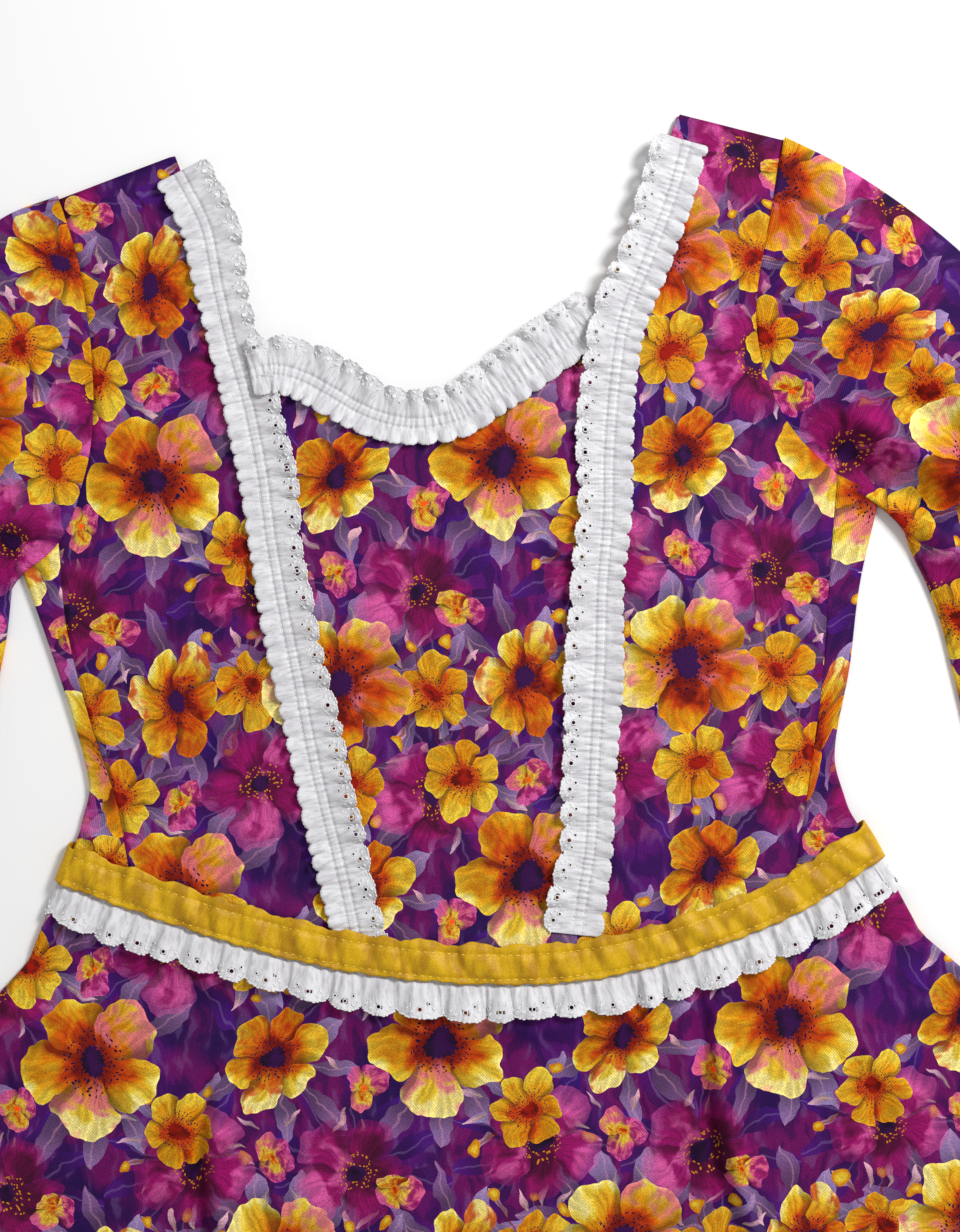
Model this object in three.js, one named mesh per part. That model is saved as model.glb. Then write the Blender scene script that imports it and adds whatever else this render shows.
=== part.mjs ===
// A huasa dress laid flat, front up: fitted bodice with a deep scoop neck, set-in sleeves, a flared
// skirt, a tape round the waist and gathered eyelet lace. Every piece of cloth is a thin closed wall.
// Millimetres. X runs across the dress, Y from hem to neck and Z up from the surface it lies on.
// The tables are measured from the middle of the waist seam, with Y up the dress.
import * as THREE from 'three';

// ---------------------------------------------------------------- driving dimensions
const CLOTH_WALL = 1.0;
const SEAM_GAP = 0.3;
const WAIST_GAP_HALF = 0.28; // from the waist seam's line to each cut edge
const LAYER_PITCH = CLOTH_WALL + SEAM_GAP;
const FOLD_SPAN = 2.4; // between the middles of the two layers at a folded edge
const BACK_LEVEL = CLOTH_WALL / 2;
const FRONT_LEVEL = BACK_LEVEL + FOLD_SPAN;

const TAPE_WIDTH = 15;
const FRILL_DEPTH = 15.5;
const LIFT_ABOVE_SEAM = { full: 9, none: 16 };
const LIFT_BELOW_SEAM = { full: 25, none: 33 };

const SKIRT_LENGTH = 400;
const HIP_DEPTH = 40;
const HIP_ANGLE = THREE.MathUtils.degToRad(25);
const FLARE_ANGLE = THREE.MathUtils.degToRad(46);
const BACK_NECK_DROP = 4;
const FRONT_HEM_RISE = 5;

const PRINTED_COTTON = { color: 0x5a1f74, roughness: 0.75, metalness: 0 };
const WHITE_LACE = { color: 0xf2f2f0, roughness: 0.8, metalness: 0 };
const MUSTARD_TAPE = { color: 0xc89a08, roughness: 0.6, metalness: 0 };

// The waist seam as it sags across the front, from one folded side to the other.
const WAIST_SEAM = [
  { x: -149, y: 46 }, { x: -126, y: 36 }, { x: -90, y: 21.5 }, { x: -50, y: 8.5 }, { x: -10, y: 1 },
  { x: 30, y: -2 }, { x: 60, y: 0.5 }, { x: 92, y: 8 }, { x: 124, y: 19 }, { x: 154, y: 36 },
];

// Sides of the bodice, from the waist up to the underarm. fold: the folded edge. seam: the side seam, which
// lies inside the folded edge because the back wraps forward.
const SIDES = [
  { leftFold: [-149, 46], leftSeam: [-126, 36], rightSeam: [124, 19], rightFold: [154, 36] },
  { leftFold: [-144.5, 55], leftSeam: [-127, 46], rightSeam: [126.5, 30], rightFold: [148.2, 44.6] },
  { leftFold: [-142.3, 61.7], leftSeam: [-128, 53], rightSeam: [128.5, 38.5], rightFold: [145.6, 51.5] },
  { leftFold: [-138.8, 75], leftSeam: [-130, 69], rightSeam: [132.6, 58], rightFold: [142.5, 69] },
  { leftFold: [-144, 104], leftSeam: [-138.6, 102], rightSeam: [140.5, 98], rightFold: [149.8, 102] },
  { leftFold: [-151.5, 133], leftSeam: [-144.8, 136], rightSeam: [145.6, 137], rightFold: [155.8, 135] },
  { leftFold: [-160, 161.6], leftSeam: [-146, 169], rightSeam: [151, 176.5], rightFold: [165.5, 168] },
];

// The armhole seams, from the side seam up to the shoulder.
const ARMHOLES = [
  { left: [-146, 169], right: [151, 176.5] },
  { left: [-134, 195], right: [137, 192] },
  { left: [-130, 215], right: [128.5, 208] },
  { left: [-129, 238], right: [124, 230] },
  { left: [-130, 256], right: [125, 248] },
  { left: [-132, 275], right: [130, 270] },
  { left: [-136, 292], right: [135.5, 293] },
  { left: [-138, 299], right: [138.5, 304.5] },
];
// Where the sleeve's folded edge starts, past the folded edge of the bodice.
const UNDERARM_GAP = { left: [-165.5, 158.7], right: [175, 162.4] };

// Edge of the cloth round the front of the neck, from one shoulder to the other.
const NECK_EDGE = [
  { x: -93, y: 313 }, { x: -86, y: 290 }, { x: -79, y: 262 }, { x: -67, y: 237 }, { x: -50, y: 226 },
  { x: -30, y: 214 }, { x: -4, y: 206 }, { x: 20, y: 212 }, { x: 42, y: 228 }, { x: 60, y: 243 },
  { x: 74, y: 264 }, { x: 88, y: 290 }, { x: 99, y: 317 },
];

// Folded edges of the sleeves, from the shoulder and from the underarm down to the sleeve hem.
const SLEEVES = [
  { leftTop: [-138, 299], leftUnder: [-165.5, 158.7], rightTop: [138.5, 304.5], rightUnder: [175, 162.4] },
  { leftTop: [-160, 291.5], leftUnder: [-167.3, 147], rightTop: [160, 292], rightUnder: [178.5, 147] },
  { leftTop: [-184, 274], leftUnder: [-170, 132], rightTop: [185, 273], rightUnder: [184, 133] },
  { leftTop: [-207, 251], leftUnder: [-174, 117], rightTop: [208, 251], rightUnder: [188.5, 118] },
  { leftTop: [-228, 224], leftUnder: [-178, 101], rightTop: [230, 225], rightUnder: [191.5, 102] },
  { leftTop: [-246, 193], leftUnder: [-182, 84], rightTop: [248, 194], rightUnder: [194.5, 85] },
  { leftTop: [-261, 158], leftUnder: [-186, 66], rightTop: [263, 159], rightUnder: [197.5, 67] },
  { leftTop: [-273, 119], leftUnder: [-190, 48], rightTop: [275, 120], rightUnder: [200.5, 49] },
  { leftTop: [-283, 77], leftUnder: [-194, 31], rightTop: [285, 78], rightUnder: [203.5, 32] },
  { leftTop: [-291, 34], leftUnder: [-198, 16], rightTop: [293, 35], rightUnder: [206.5, 17] },
];

// Folds across the sleeves: middle, direction in degrees from +X, half length, half width and height.
const SLEEVE_FOLDS = [
  { x: 184, y: 188, along: -45, halfLength: 34, halfWidth: 11, height: 3.6 },
  { x: 208, y: 222, along: -38, halfLength: 36, halfWidth: 13, height: 2.4 },
  { x: 224, y: 140, along: -22, halfLength: 34, halfWidth: 14, height: 2.6 },
  { x: -190, y: 180, along: 8, halfLength: 36, halfWidth: 12, height: 3.6 },
  { x: -206, y: 226, along: 36, halfLength: 34, halfWidth: 13, height: 2.4 },
  { x: -224, y: 136, along: 20, halfLength: 34, halfWidth: 14, height: 2.6 },
];

// Soft folds that open down the skirt front. across runs from -1 at one side to 1 at the other, and
// halfWidth is in the same measure. starts: how far below the waist the fold begins.
const SKIRT_FOLDS = [
  { acrossWaist: -0.86, acrossHem: -0.8, starts: 120, halfWidth: 0.07, height: 5 },
  { acrossWaist: -0.52, acrossHem: -0.42, starts: 30, halfWidth: 0.075, height: 8 },
  { acrossWaist: -0.16, acrossHem: -0.14, starts: 110, halfWidth: 0.08, height: 6 },
  { acrossWaist: 0.12, acrossHem: 0.14, starts: 150, halfWidth: 0.07, height: 5 },
  { acrossWaist: 0.52, acrossHem: 0.4, starts: 26, halfWidth: 0.07, height: 7.5 },
  { acrossWaist: 0.8, acrossHem: 0.76, starts: 90, halfWidth: 0.08, height: 6 },
];

// Edges of the two lace strips, by height above the waist seam's middle.
const LACE_STRIPS = [
  { y: 20, leftOuter: -53, leftInner: -31.5, rightInner: 33, rightOuter: 52.5 },
  { y: 42, leftOuter: -56.5, leftInner: -35.5, rightInner: 36, rightOuter: 58.5 },
  { y: 65, leftOuter: -62, leftInner: -38.5, rightInner: 38.5, rightOuter: 61 },
  { y: 88, leftOuter: -66, leftInner: -42, rightInner: 40.5, rightOuter: 64 },
  { y: 113, leftOuter: -69, leftInner: -45.5, rightInner: 43.5, rightOuter: 67 },
  { y: 138, leftOuter: -72, leftInner: -50, rightInner: 46.5, rightOuter: 68.5 },
  { y: 165, leftOuter: -74, leftInner: -54.5, rightInner: 51.5, rightOuter: 71.5 },
  { y: 190, leftOuter: -76, leftInner: -56, rightInner: 53.5, rightOuter: 73.5 },
  { y: 218, leftOuter: -80, leftInner: -60, rightInner: 55.5, rightOuter: 79 },
  { y: 240, leftOuter: -84.5, leftInner: -65, rightInner: 60, rightOuter: 84 },
  { y: 262, leftOuter: -87, leftInner: -70.5, rightInner: 70, rightOuter: 94 },
  { y: 285, leftOuter: -90.5, leftInner: -73.5, rightInner: 81, rightOuter: 104 },
  { y: 306, leftOuter: -100, leftInner: -82, rightInner: 89, rightOuter: 111 },
];

// Edges of the lace along the scoop: the eyelet edge over the opening, the heading on the cloth.
const NECK_LACE = [
  { edge: [-65, 243], heading: [-59.5, 221] }, { edge: [-51, 241], heading: [-50, 215.5] },
  { edge: [-38, 231], heading: [-40, 211] }, { edge: [-27, 221], heading: [-27, 204.5] },
  { edge: [-16, 214.5], heading: [-14, 201] }, { edge: [-4, 217.5], heading: [-3, 196.8] },
  { edge: [8, 220], heading: [9, 198.5] }, { edge: [20, 225], heading: [21, 207] },
  { edge: [31, 232], heading: [33, 213.5] }, { edge: [43, 240], heading: [46, 221] },
  { edge: [60, 249], heading: [55.8, 228] },
];

// ---------------------------------------------------------------- plan geometry
const mix = (a, b, t) => a + (b - a) * t;
const between = (a, b, t) => [mix(a[0], b[0], t), mix(a[1], b[1], t)];
const steps = (count) => Array.from({ length: count + 1 }, (_, i) => i / count);
const smooth = (t) => THREE.MathUtils.smoothstep(t, 0, 1);

// The height of a curve, given as rows of x and y in order of x, at any x.
function heightAt(rows) {
  return (x) => {
    const last = rows.length - 1;
    const beyond = (a, b) => b.y + (x - b.x) * (b.y - a.y) / (b.x - a.x);
    if (x < rows[0].x) return beyond(rows[1], rows[0]);
    if (x > rows[last].x) return beyond(rows[last - 1], rows[last]);
    const next = Math.min(Math.max(rows.findIndex((row) => row.x >= x), 1), last);
    const before = rows[next - 1];
    const after = rows[next];
    const slopeAt = (i) => {
      const low = rows[Math.max(i - 1, 0)];
      const high = rows[Math.min(i + 1, last)];
      return (high.y - low.y) / (high.x - low.x);
    };
    const span = after.x - before.x;
    const t = (x - before.x) / span;
    const climb = after.y - before.y;
    const start = span * slopeAt(next - 1) - climb;
    const end = climb - span * slopeAt(next);
    return mix(before.y, after.y, t) + t * (1 - t) * mix(start, end, t);
  };
}

const waistHeight = heightAt(WAIST_SEAM);
const WAIST_LEFT = WAIST_SEAM[0].x;
const WAIST_RIGHT = WAIST_SEAM[WAIST_SEAM.length - 1].x;

// Unit vector square to the waist seam at x, pointing up the dress.
function waistNormal(x) {
  const slope = (waistHeight(x + 1) - waistHeight(x - 1)) / 2;
  const length = Math.hypot(slope, 1);
  return [-slope / length, 1 / length];
}

// A point of the waist seam at x, moved up the dress by offset, square to the seam.
function waistPoint(x, offset) {
  const [nx, ny] = waistNormal(x);
  return [x + nx * offset, waistHeight(x) + ny * offset];
}

const offsetFromWaist = (x, y) => (y - waistHeight(THREE.MathUtils.clamp(x, WAIST_LEFT, WAIST_RIGHT))) *
  waistNormal(THREE.MathUtils.clamp(x, WAIST_LEFT, WAIST_RIGHT))[1];

// A point of the skirt: across from -1 to 1, down in millimetres from the waist seam.
function skirtPoint(across, down) {
  const [x, y] = waistPoint(mix(WAIST_LEFT, WAIST_RIGHT, (across + 1) / 2), 0);
  const hip = Math.min(down, HIP_DEPTH);
  const flare = Math.max(down - HIP_DEPTH, 0);
  const hipTurn = HIP_ANGLE * across;
  const flareTurn = FLARE_ANGLE * across;
  return [
    x + hip * Math.sin(hipTurn) + flare * Math.sin(flareTurn),
    y - hip * Math.cos(hipTurn) - flare * Math.cos(flareTurn),
  ];
}

// Fills the plan between four edges. left and right run up, bottom and top run across.
function patch(left, right, bottom, top, acrossShares, upShares) {
  const rowCount = left.length - 1;
  const columnCount = bottom.length - 1;
  const corner = (t, v) => mix(mix(left[0][t], right[0][t], acrossShares[v.i]),
    mix(left[rowCount][t], right[rowCount][t], acrossShares[v.i]), upShares[v.k]);
  return left.map((_, k) => bottom.map((__, i) => [0, 1].map((t) => {
    if (k === 0) return bottom[i][t];
    if (k === rowCount) return top[i][t];
    if (i === 0) return left[k][t];
    if (i === columnCount) return right[k][t];
    return mix(left[k][t], right[k][t], acrossShares[i]) + mix(bottom[i][t], top[i][t], upShares[k]) -
      corner(t, { i, k });
  })));
}

// ---------------------------------------------------------------- heights above the surface
// The cloth rises over the tape and frill that pass under the back, and falls again beyond them.
function waistLift(x, y) {
  const offset = offsetFromWaist(x, y);
  const reach = offset > 0 ? LIFT_ABOVE_SEAM : LIFT_BELOW_SEAM;
  const fall = (Math.abs(offset) - reach.full) / (reach.none - reach.full);
  return LAYER_PITCH * (1 - THREE.MathUtils.clamp(fall, 0, 1));
}

const backHeight = (x, y) => BACK_LEVEL + waistLift(x, y);
const frontHeight = (x, y) => FRONT_LEVEL + waistLift(x, y);

// A soft ridge that fades out along and across.
function ridge(fold, x, y) {
  const turn = THREE.MathUtils.degToRad(fold.along);
  const dx = x - fold.x;
  const dy = y - fold.y;
  const along = Math.abs(dx * Math.cos(turn) + dy * Math.sin(turn)) / fold.halfLength;
  const aside = Math.abs(-dx * Math.sin(turn) + dy * Math.cos(turn)) / fold.halfWidth;
  return fold.height * (1 - smooth(along)) * (1 - smooth(aside));
}

const sleeveTopHeight = (x, y) =>
  FRONT_LEVEL + SLEEVE_FOLDS.reduce((sum, fold) => sum + ridge(fold, x, y), 0);

function skirtFoldHeight(across, down) {
  return SKIRT_FOLDS.reduce((sum, fold) => {
    const share = down / SKIRT_LENGTH;
    const middle = mix(fold.acrossWaist, fold.acrossHem, share);
    const grown = smooth((down - fold.starts) / (SKIRT_LENGTH - fold.starts));
    return sum + fold.height * grown * (1 - smooth(Math.abs(across - middle) / fold.halfWidth));
  }, 0);
}

// ---------------------------------------------------------------- cloth walls
// The middle surface of a piece of cloth, gathered from grids whose shared points are merged.
class Cloth {
  constructor() {
    this.points = [];
    this.faces = [];
    this.known = new Map();
  }

  point(place) {
    const key = place.map((value) => value.toFixed(3)).join(' ');
    if (!this.known.has(key)) {
      this.known.set(key, this.points.length);
      this.points.push(new THREE.Vector3(...place));
    }
    return this.known.get(key);
  }

  // Two triangles, split along the shorter diagonal.
  addQuad(a, b, c, d) {
    const span = (from, to) => this.points[from].distanceTo(this.points[to]);
    if (span(a, c) <= span(b, d)) this.faces.push([a, b, c], [a, c, d]);
    else this.faces.push([a, b, d], [b, c, d]);
  }

  // rows of places, all of one length; closed rows join their last point to their first.
  addRows(rows, closed = false) {
    const indices = rows.map((row) => row.map((place) => this.point(place)));
    const columnCount = rows[0].length;
    for (let k = 0; k + 1 < rows.length; k += 1) {
      for (let i = 0; i < (closed ? columnCount : columnCount - 1); i += 1) {
        const j = (i + 1) % columnCount;
        this.addQuad(indices[k][i], indices[k][j], indices[k + 1][j], indices[k + 1][i]);
      }
    }
    return this;
  }

  // Gives the surface its thickness, half to each side, with walls along its free edges.
  wall(thickness) {
    const normals = this.points.map(() => new THREE.Vector3());
    for (const [a, b, c] of this.faces) {
      const side = this.points[b].clone().sub(this.points[a]);
      const normal = side.cross(this.points[c].clone().sub(this.points[a]));
      [a, b, c].forEach((corner) => normals[corner].add(normal));
    }
    normals.forEach((normal) => normal.normalize());
    const shifted = (sign) => this.points.map((point, n) =>
      point.clone().addScaledVector(normals[n], sign * thickness / 2));
    const places = [...shifted(1), ...shifted(-1)];
    const count = this.points.length;
    const faces = this.faces.flatMap(([a, b, c]) => [[a, b, c], [a + count, c + count, b + count]]);
    const edges = new Set(this.faces.flatMap(([a, b, c]) => [`${a} ${b}`, `${b} ${c}`, `${c} ${a}`]));
    for (const edge of edges) {
      const [a, b] = edge.split(' ').map(Number);
      if (!edges.has(`${b} ${a}`)) faces.push([b, a, a + count], [b, a + count, b + count]);
    }
    const geometry = new THREE.BufferGeometry();
    const numbers = places.flatMap((place) => place.toArray());
    geometry.setAttribute('position', new THREE.Float32BufferAttribute(numbers, 3));
    geometry.setIndex(faces.flat());
    geometry.computeVertexNormals();
    return geometry;
  }
}

const raise = (plan, height) => plan.map(([x, y]) => [x, y, height(x, y)]);
const unit = ([x, y]) => [x / Math.hypot(x, y), y / Math.hypot(x, y)];
const towards = (from, to) => unit([to[0] - from[0], to[1] - from[1]]);

// Points round a folded edge, from the upper layer down to the lower one, both left out.
const CLOTH_ROLL = [45, 0, -45];
const BAND_ROLL = [60, 30, 0, -30, -60];
function roll([x, y], [outX, outY], upper, lower, turns = CLOTH_ROLL) {
  const radius = (upper - lower) / 2;
  return turns.map((degrees) => {
    const turn = THREE.MathUtils.degToRad(degrees);
    const reach = radius * Math.cos(turn);
    return [x + outX * reach, y + outY * reach, (upper + lower) / 2 + radius * Math.sin(turn)];
  });
}

// One closed loop of flattened tube: the plan row above, round its end, the row below, round its start.
function tubeLoop(row, upperHeight, lowerHeight, startOut, endOut, turns) {
  const start = row[0];
  const end = row[row.length - 1];
  return [
    ...raise(row, upperHeight),
    ...roll(end, endOut, upperHeight(...end), lowerHeight(...end), turns),
    ...raise([...row].reverse(), lowerHeight),
    ...roll(start, startOut, upperHeight(...start), lowerHeight(...start), turns).reverse(),
  ];
}

// ---------------------------------------------------------------- bodice
const NECK_STEP = 12;

// One side line of the bodice, which starts half a seam gap above the waist seam.
const sideLine = (column) => SIDES.map((row, k) =>
  (k === 0 ? waistPoint(row[column][0], WAIST_GAP_HALF) : row[column]));

const armhole = (side) => ARMHOLES.map((row) => row[side]);

// Across the top: shoulder, neck, shoulder. Inner points follow the neck's edge.
function topEdge(neckDrop) {
  const lastRow = NECK_EDGE.length - 1;
  const isInside = (i) => i > 0 && i < lastRow;
  const lowered = heightAt(NECK_EDGE.map(({ x, y }, i) => ({ x, y: y - (isInside(i) ? neckDrop : 0) })));
  const [first, last] = [NECK_EDGE[0].x, NECK_EDGE[lastRow].x];
  const count = Math.round((last - first) / NECK_STEP);
  const neck = steps(count).map((share) => mix(first, last, share)).map((x) => [x, lowered(x)]);
  const [leftTip, rightTip] = ['left', 'right'].map((side) => ARMHOLES[ARMHOLES.length - 1][side]);
  const shoulder = (tip, inner) => [1 / 3, 2 / 3].map((share) => between(tip, inner, share));
  return [
    leftTip, ...shoulder(leftTip, neck[0]), ...neck,
    ...shoulder(rightTip, neck[neck.length - 1]).reverse(), rightTip,
  ];
}

const isOnShoulder = (x) => x <= NECK_EDGE[0].x || x >= NECK_EDGE[NECK_EDGE.length - 1].x;

// Plan of one bodice layer. column picks the side lines: the seams, or the folds of the back layer,
// which step in from the fold to the side seam at the underarm.
function bodicePlan(column, neckDrop) {
  const from = column === 'Seam' ? 1 : 0;
  const left = [...sideLine(`left${column}`), ...armhole('left').slice(from)];
  const right = [...sideLine(`right${column}`), ...armhole('right').slice(from)];
  const top = topEdge(neckDrop);
  const shareOfTop = ([x]) => (x - top[0][0]) / (top[top.length - 1][0] - top[0][0]);
  const acrossShares = top.map(shareOfTop);
  const [firstX, lastX] = [SIDES[0][`left${column}`][0], SIDES[0][`right${column}`][0]];
  const bottom = acrossShares.map((share) => waistPoint(mix(firstX, lastX, share), WAIST_GAP_HALF));
  const height = (row) => (left[row][1] + right[row][1]) / 2;
  const upShares = left.map((_, k) => (height(k) - height(0)) / (height(left.length - 1) - height(0)));
  return patch(left, right, bottom, top, acrossShares, upShares);
}

function bodiceFront() {
  const rows = bodicePlan('Seam', 0);
  const places = rows.map((row, k) => row.map(([x, y]) => {
    const meetsBack = k === rows.length - 1 && isOnShoulder(x);
    return [x, y, meetsBack ? BACK_LEVEL + LAYER_PITCH : frontHeight(x, y)];
  }));
  return new Cloth().addRows(places).wall(CLOTH_WALL);
}

// A flap of the back that wraps forward, from the side seam over the folded edge to the back layer.
function backFlap(seam, fold) {
  return seam.map((seamPoint, k) => {
    const out = towards(seamPoint, fold[k]);
    const edge = [seamPoint[0] + out[0] * SEAM_GAP, seamPoint[1] + out[1] * SEAM_GAP];
    const middle = between(edge, fold[k], 0.5);
    return [
      ...raise([edge, middle, fold[k]], frontHeight),
      ...roll(fold[k], out, frontHeight(...fold[k]), backHeight(...fold[k])),
      ...raise([fold[k]], backHeight),
    ];
  });
}

function bodiceBack() {
  const leftFold = sideLine('leftFold');
  const rightFold = sideLine('rightFold');
  const cloth = new Cloth();
  cloth.addRows(bodicePlan('Fold', BACK_NECK_DROP).map((row) => raise(row, backHeight).reverse()));
  cloth.addRows(backFlap(sideLine('leftSeam'), leftFold).map((row) => row.reverse()));
  cloth.addRows(backFlap(sideLine('rightSeam'), rightFold));
  return cloth.wall(CLOTH_WALL);
}

// ---------------------------------------------------------------- sleeves
function sleeve(side) {
  const outward = side === 'left' ? -1 : 1;
  const seam = [...armhole(side)].reverse();
  const seamLine = [...seam, UNDERARM_GAP[side]];
  const shifted = seamLine.map((place, i) => {
    const before = seamLine[Math.max(i - 1, 0)];
    const after = seamLine[Math.min(i + 1, seamLine.length - 1)];
    const [tx, ty] = towards(before, after);
    return [place[0] - outward * ty * SEAM_GAP, place[1] + outward * tx * SEAM_GAP];
  });
  const topEdgeLine = SLEEVES.map((row) => row[`${side}Top`]);
  const underLine = SLEEVES.map((row) => row[`${side}Under`]);
  topEdgeLine[0] = shifted[0];
  underLine[0] = shifted[shifted.length - 1];
  const lengths = [0];
  for (let i = 1; i < shifted.length; i += 1) {
    const [a, b] = [shifted[i - 1], shifted[i]];
    lengths.push(lengths[i - 1] + Math.hypot(b[0] - a[0], b[1] - a[1]));
  }
  const acrossShares = lengths.map((length) => length / lengths[lengths.length - 1]);
  const curveLost = SLEEVES.map((_, k) => Math.min(k, 1)); // only the first row keeps the armhole's curve
  const [topEnd, underEnd] = [topEdgeLine, underLine].map((line) => line[line.length - 1]);
  const hem = acrossShares.map((share) => between(topEnd, underEnd, share));
  const rows = patch(topEdgeLine, underLine, shifted, hem, acrossShares, curveLost);
  const tangent = (line, k) => towards(line[Math.max(k - 1, 0)], line[Math.min(k + 1, line.length - 1)]);
  const loops = rows.map((row, k) => {
    const [tx, ty] = tangent(topEdgeLine, k);
    const [ux, uy] = tangent(underLine, k);
    const startOut = [-ty * outward, tx * outward];
    const endOut = [uy * outward, -ux * outward];
    return tubeLoop(row, sleeveTopHeight, () => BACK_LEVEL, startOut, endOut);
  });
  // Rows run down one sleeve and up the other, so that both walls face outwards.
  return new Cloth().addRows(side === 'left' ? loops.reverse() : loops, true).wall(CLOTH_WALL);
}

// ---------------------------------------------------------------- skirt
const SKIRT_DOWN = [0, 10, 24, 34, 60, 100, 150, 210, 270, 335, SKIRT_LENGTH];
const FRONT_COLUMNS = 36;
const BACK_COLUMNS = 24;

const SIDE_SEAM_HALF = 0.38; // from the seam's middle to the middle of the cut edge

function sideOut(across, down) {
  const turn = down < HIP_DEPTH ? HIP_ANGLE : FLARE_ANGLE;
  return [Math.sign(across) * Math.cos(turn), Math.sin(turn)];
}

// Half of the roll at the skirt's side edge, from the layer to half way, short of the seam's middle.
function halfRoll(place, out, upper, lower, isFront) {
  const radius = (upper - lower) / 2;
  const stop = Math.asin(SIDE_SEAM_HALF / radius);
  return [Math.PI / 4, stop].map((turn) => [
    place[0] + out[0] * radius * Math.cos(turn), place[1] + out[1] * radius * Math.cos(turn),
    (upper + lower) / 2 + (isFront ? 1 : -1) * radius * Math.sin(turn),
  ]);
}

function skirtLayer(isFront) {
  const columns = steps(isFront ? FRONT_COLUMNS : BACK_COLUMNS).map((share) => share * 2 - 1);
  const rise = isFront ? FRONT_HEM_RISE : 0;
  const rows = SKIRT_DOWN.map((down) => {
    const depth = WAIST_GAP_HALF + down * (SKIRT_LENGTH - rise) / SKIRT_LENGTH;
    const places = columns.map((across) => {
      const [x, y] = skirtPoint(across, depth);
      const isEdge = Math.abs(across) === 1;
      const fold = isFront && !isEdge ? skirtFoldHeight(across, depth) : 0;
      return [x, y, (isFront ? frontHeight(x, y) : backHeight(x, y)) + fold];
    });
    const edgeRoll = ([x, y], across) => halfRoll(
      [x, y], sideOut(across, down), frontHeight(x, y), backHeight(x, y), isFront,
    );
    return [
      ...edgeRoll(places[0], -1).reverse(), ...places, ...edgeRoll(places[places.length - 1], 1),
    ];
  });
  return new Cloth().addRows(isFront ? rows.reverse() : rows).wall(CLOTH_WALL);
}

// ---------------------------------------------------------------- tape and lace
const BAND_COLUMNS = 22;

// A band all round the dress, given as plan rows from its lower to its upper edge.
function roundBand(rows) {
  const loops = rows.map((row) => tubeLoop(
    row, () => FRONT_LEVEL + 2 * LAYER_PITCH, () => BACK_LEVEL,
    towards(row[1], row[0]), towards(row[row.length - 2], row[row.length - 1]), BAND_ROLL,
  ));
  return new Cloth().addRows(loops, true).wall(CLOTH_WALL);
}

const bandShares = steps(BAND_COLUMNS);
const belowWaist = (down) => bandShares.map((share) => skirtPoint(share * 2 - 1, down));

function waistband() {
  const aboveWaist = bandShares.map((share) =>
    waistPoint(mix(WAIST_LEFT, WAIST_RIGHT, share), TAPE_WIDTH / 2));
  return roundBand([belowWaist(TAPE_WIDTH / 2), belowWaist(0), aboveWaist]);
}

function waistFrill() {
  const top = TAPE_WIDTH / 2 + SEAM_GAP;
  return roundBand([1, 0.5, 0].map((share) => belowWaist(top + FRILL_DEPTH * share)));
}

const LACE_SHARES = [0, 0.5, 1]; // across the lace, from one edge to the other
const STRIP_FOOT = TAPE_WIDTH / 2 + 2 * SEAM_GAP;
const laceHeight = (x, y) => frontHeight(x, y) + LAYER_PITCH;

function laceStrip(side) {
  const rows = LACE_STRIPS.map((row) => {
    const [from, to] = side === 'left'
      ? [row.leftOuter, row.leftInner] : [row.rightInner, row.rightOuter];
    return LACE_SHARES.map((share) => [mix(from, to, share), row.y]);
  });
  const foot = [STRIP_FOOT, LIFT_ABOVE_SEAM.full].map((offset) =>
    rows[0].map(([x]) => waistPoint(x, offset)));
  const places = [...foot, ...rows.slice(1)].map((row) => raise(row, laceHeight));
  return new Cloth().addRows(places).wall(CLOTH_WALL);
}

function neckLace() {
  const rows = LACE_SHARES.map((share) => NECK_LACE.map(({ heading, edge }) => between(heading, edge, share)));
  return new Cloth().addRows(rows.map((row) => raise(row, laceHeight))).wall(CLOTH_WALL);
}

// ---------------------------------------------------------------- the dress
const dress = new THREE.Group();

function piece(name, geometry, finish) {
  const mesh = new THREE.Mesh(geometry, new THREE.MeshStandardMaterial(finish));
  mesh.name = name;
  dress.add(mesh);
}

piece('bodice_front', bodiceFront(), PRINTED_COTTON);
piece('bodice_back', bodiceBack(), PRINTED_COTTON);
piece('sleeve_left', sleeve('left'), PRINTED_COTTON);
piece('sleeve_right', sleeve('right'), PRINTED_COTTON);
piece('skirt_front', skirtLayer(true), PRINTED_COTTON);
piece('skirt_back', skirtLayer(false), PRINTED_COTTON);
piece('waistband', waistband(), MUSTARD_TAPE);
piece('waist_frill', waistFrill(), WHITE_LACE);
piece('lace_strip_left', laceStrip('left'), WHITE_LACE);
piece('lace_strip_right', laceStrip('right'), WHITE_LACE);
piece('neck_lace', neckLace(), WHITE_LACE);

// The origin is under the middle of the dress, on the surface it lies on.
const extent = new THREE.Box3().setFromObject(dress);
const middle = extent.getCenter(new THREE.Vector3());
dress.position.set(-middle.x, -middle.y, -extent.min.z);

const model = new THREE.Group();
model.add(dress);

export default model;
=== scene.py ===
"""Huasa dress laid flat: printed cotton, gathered eyelet lace and a mustard waist tape."""

import math

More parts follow.
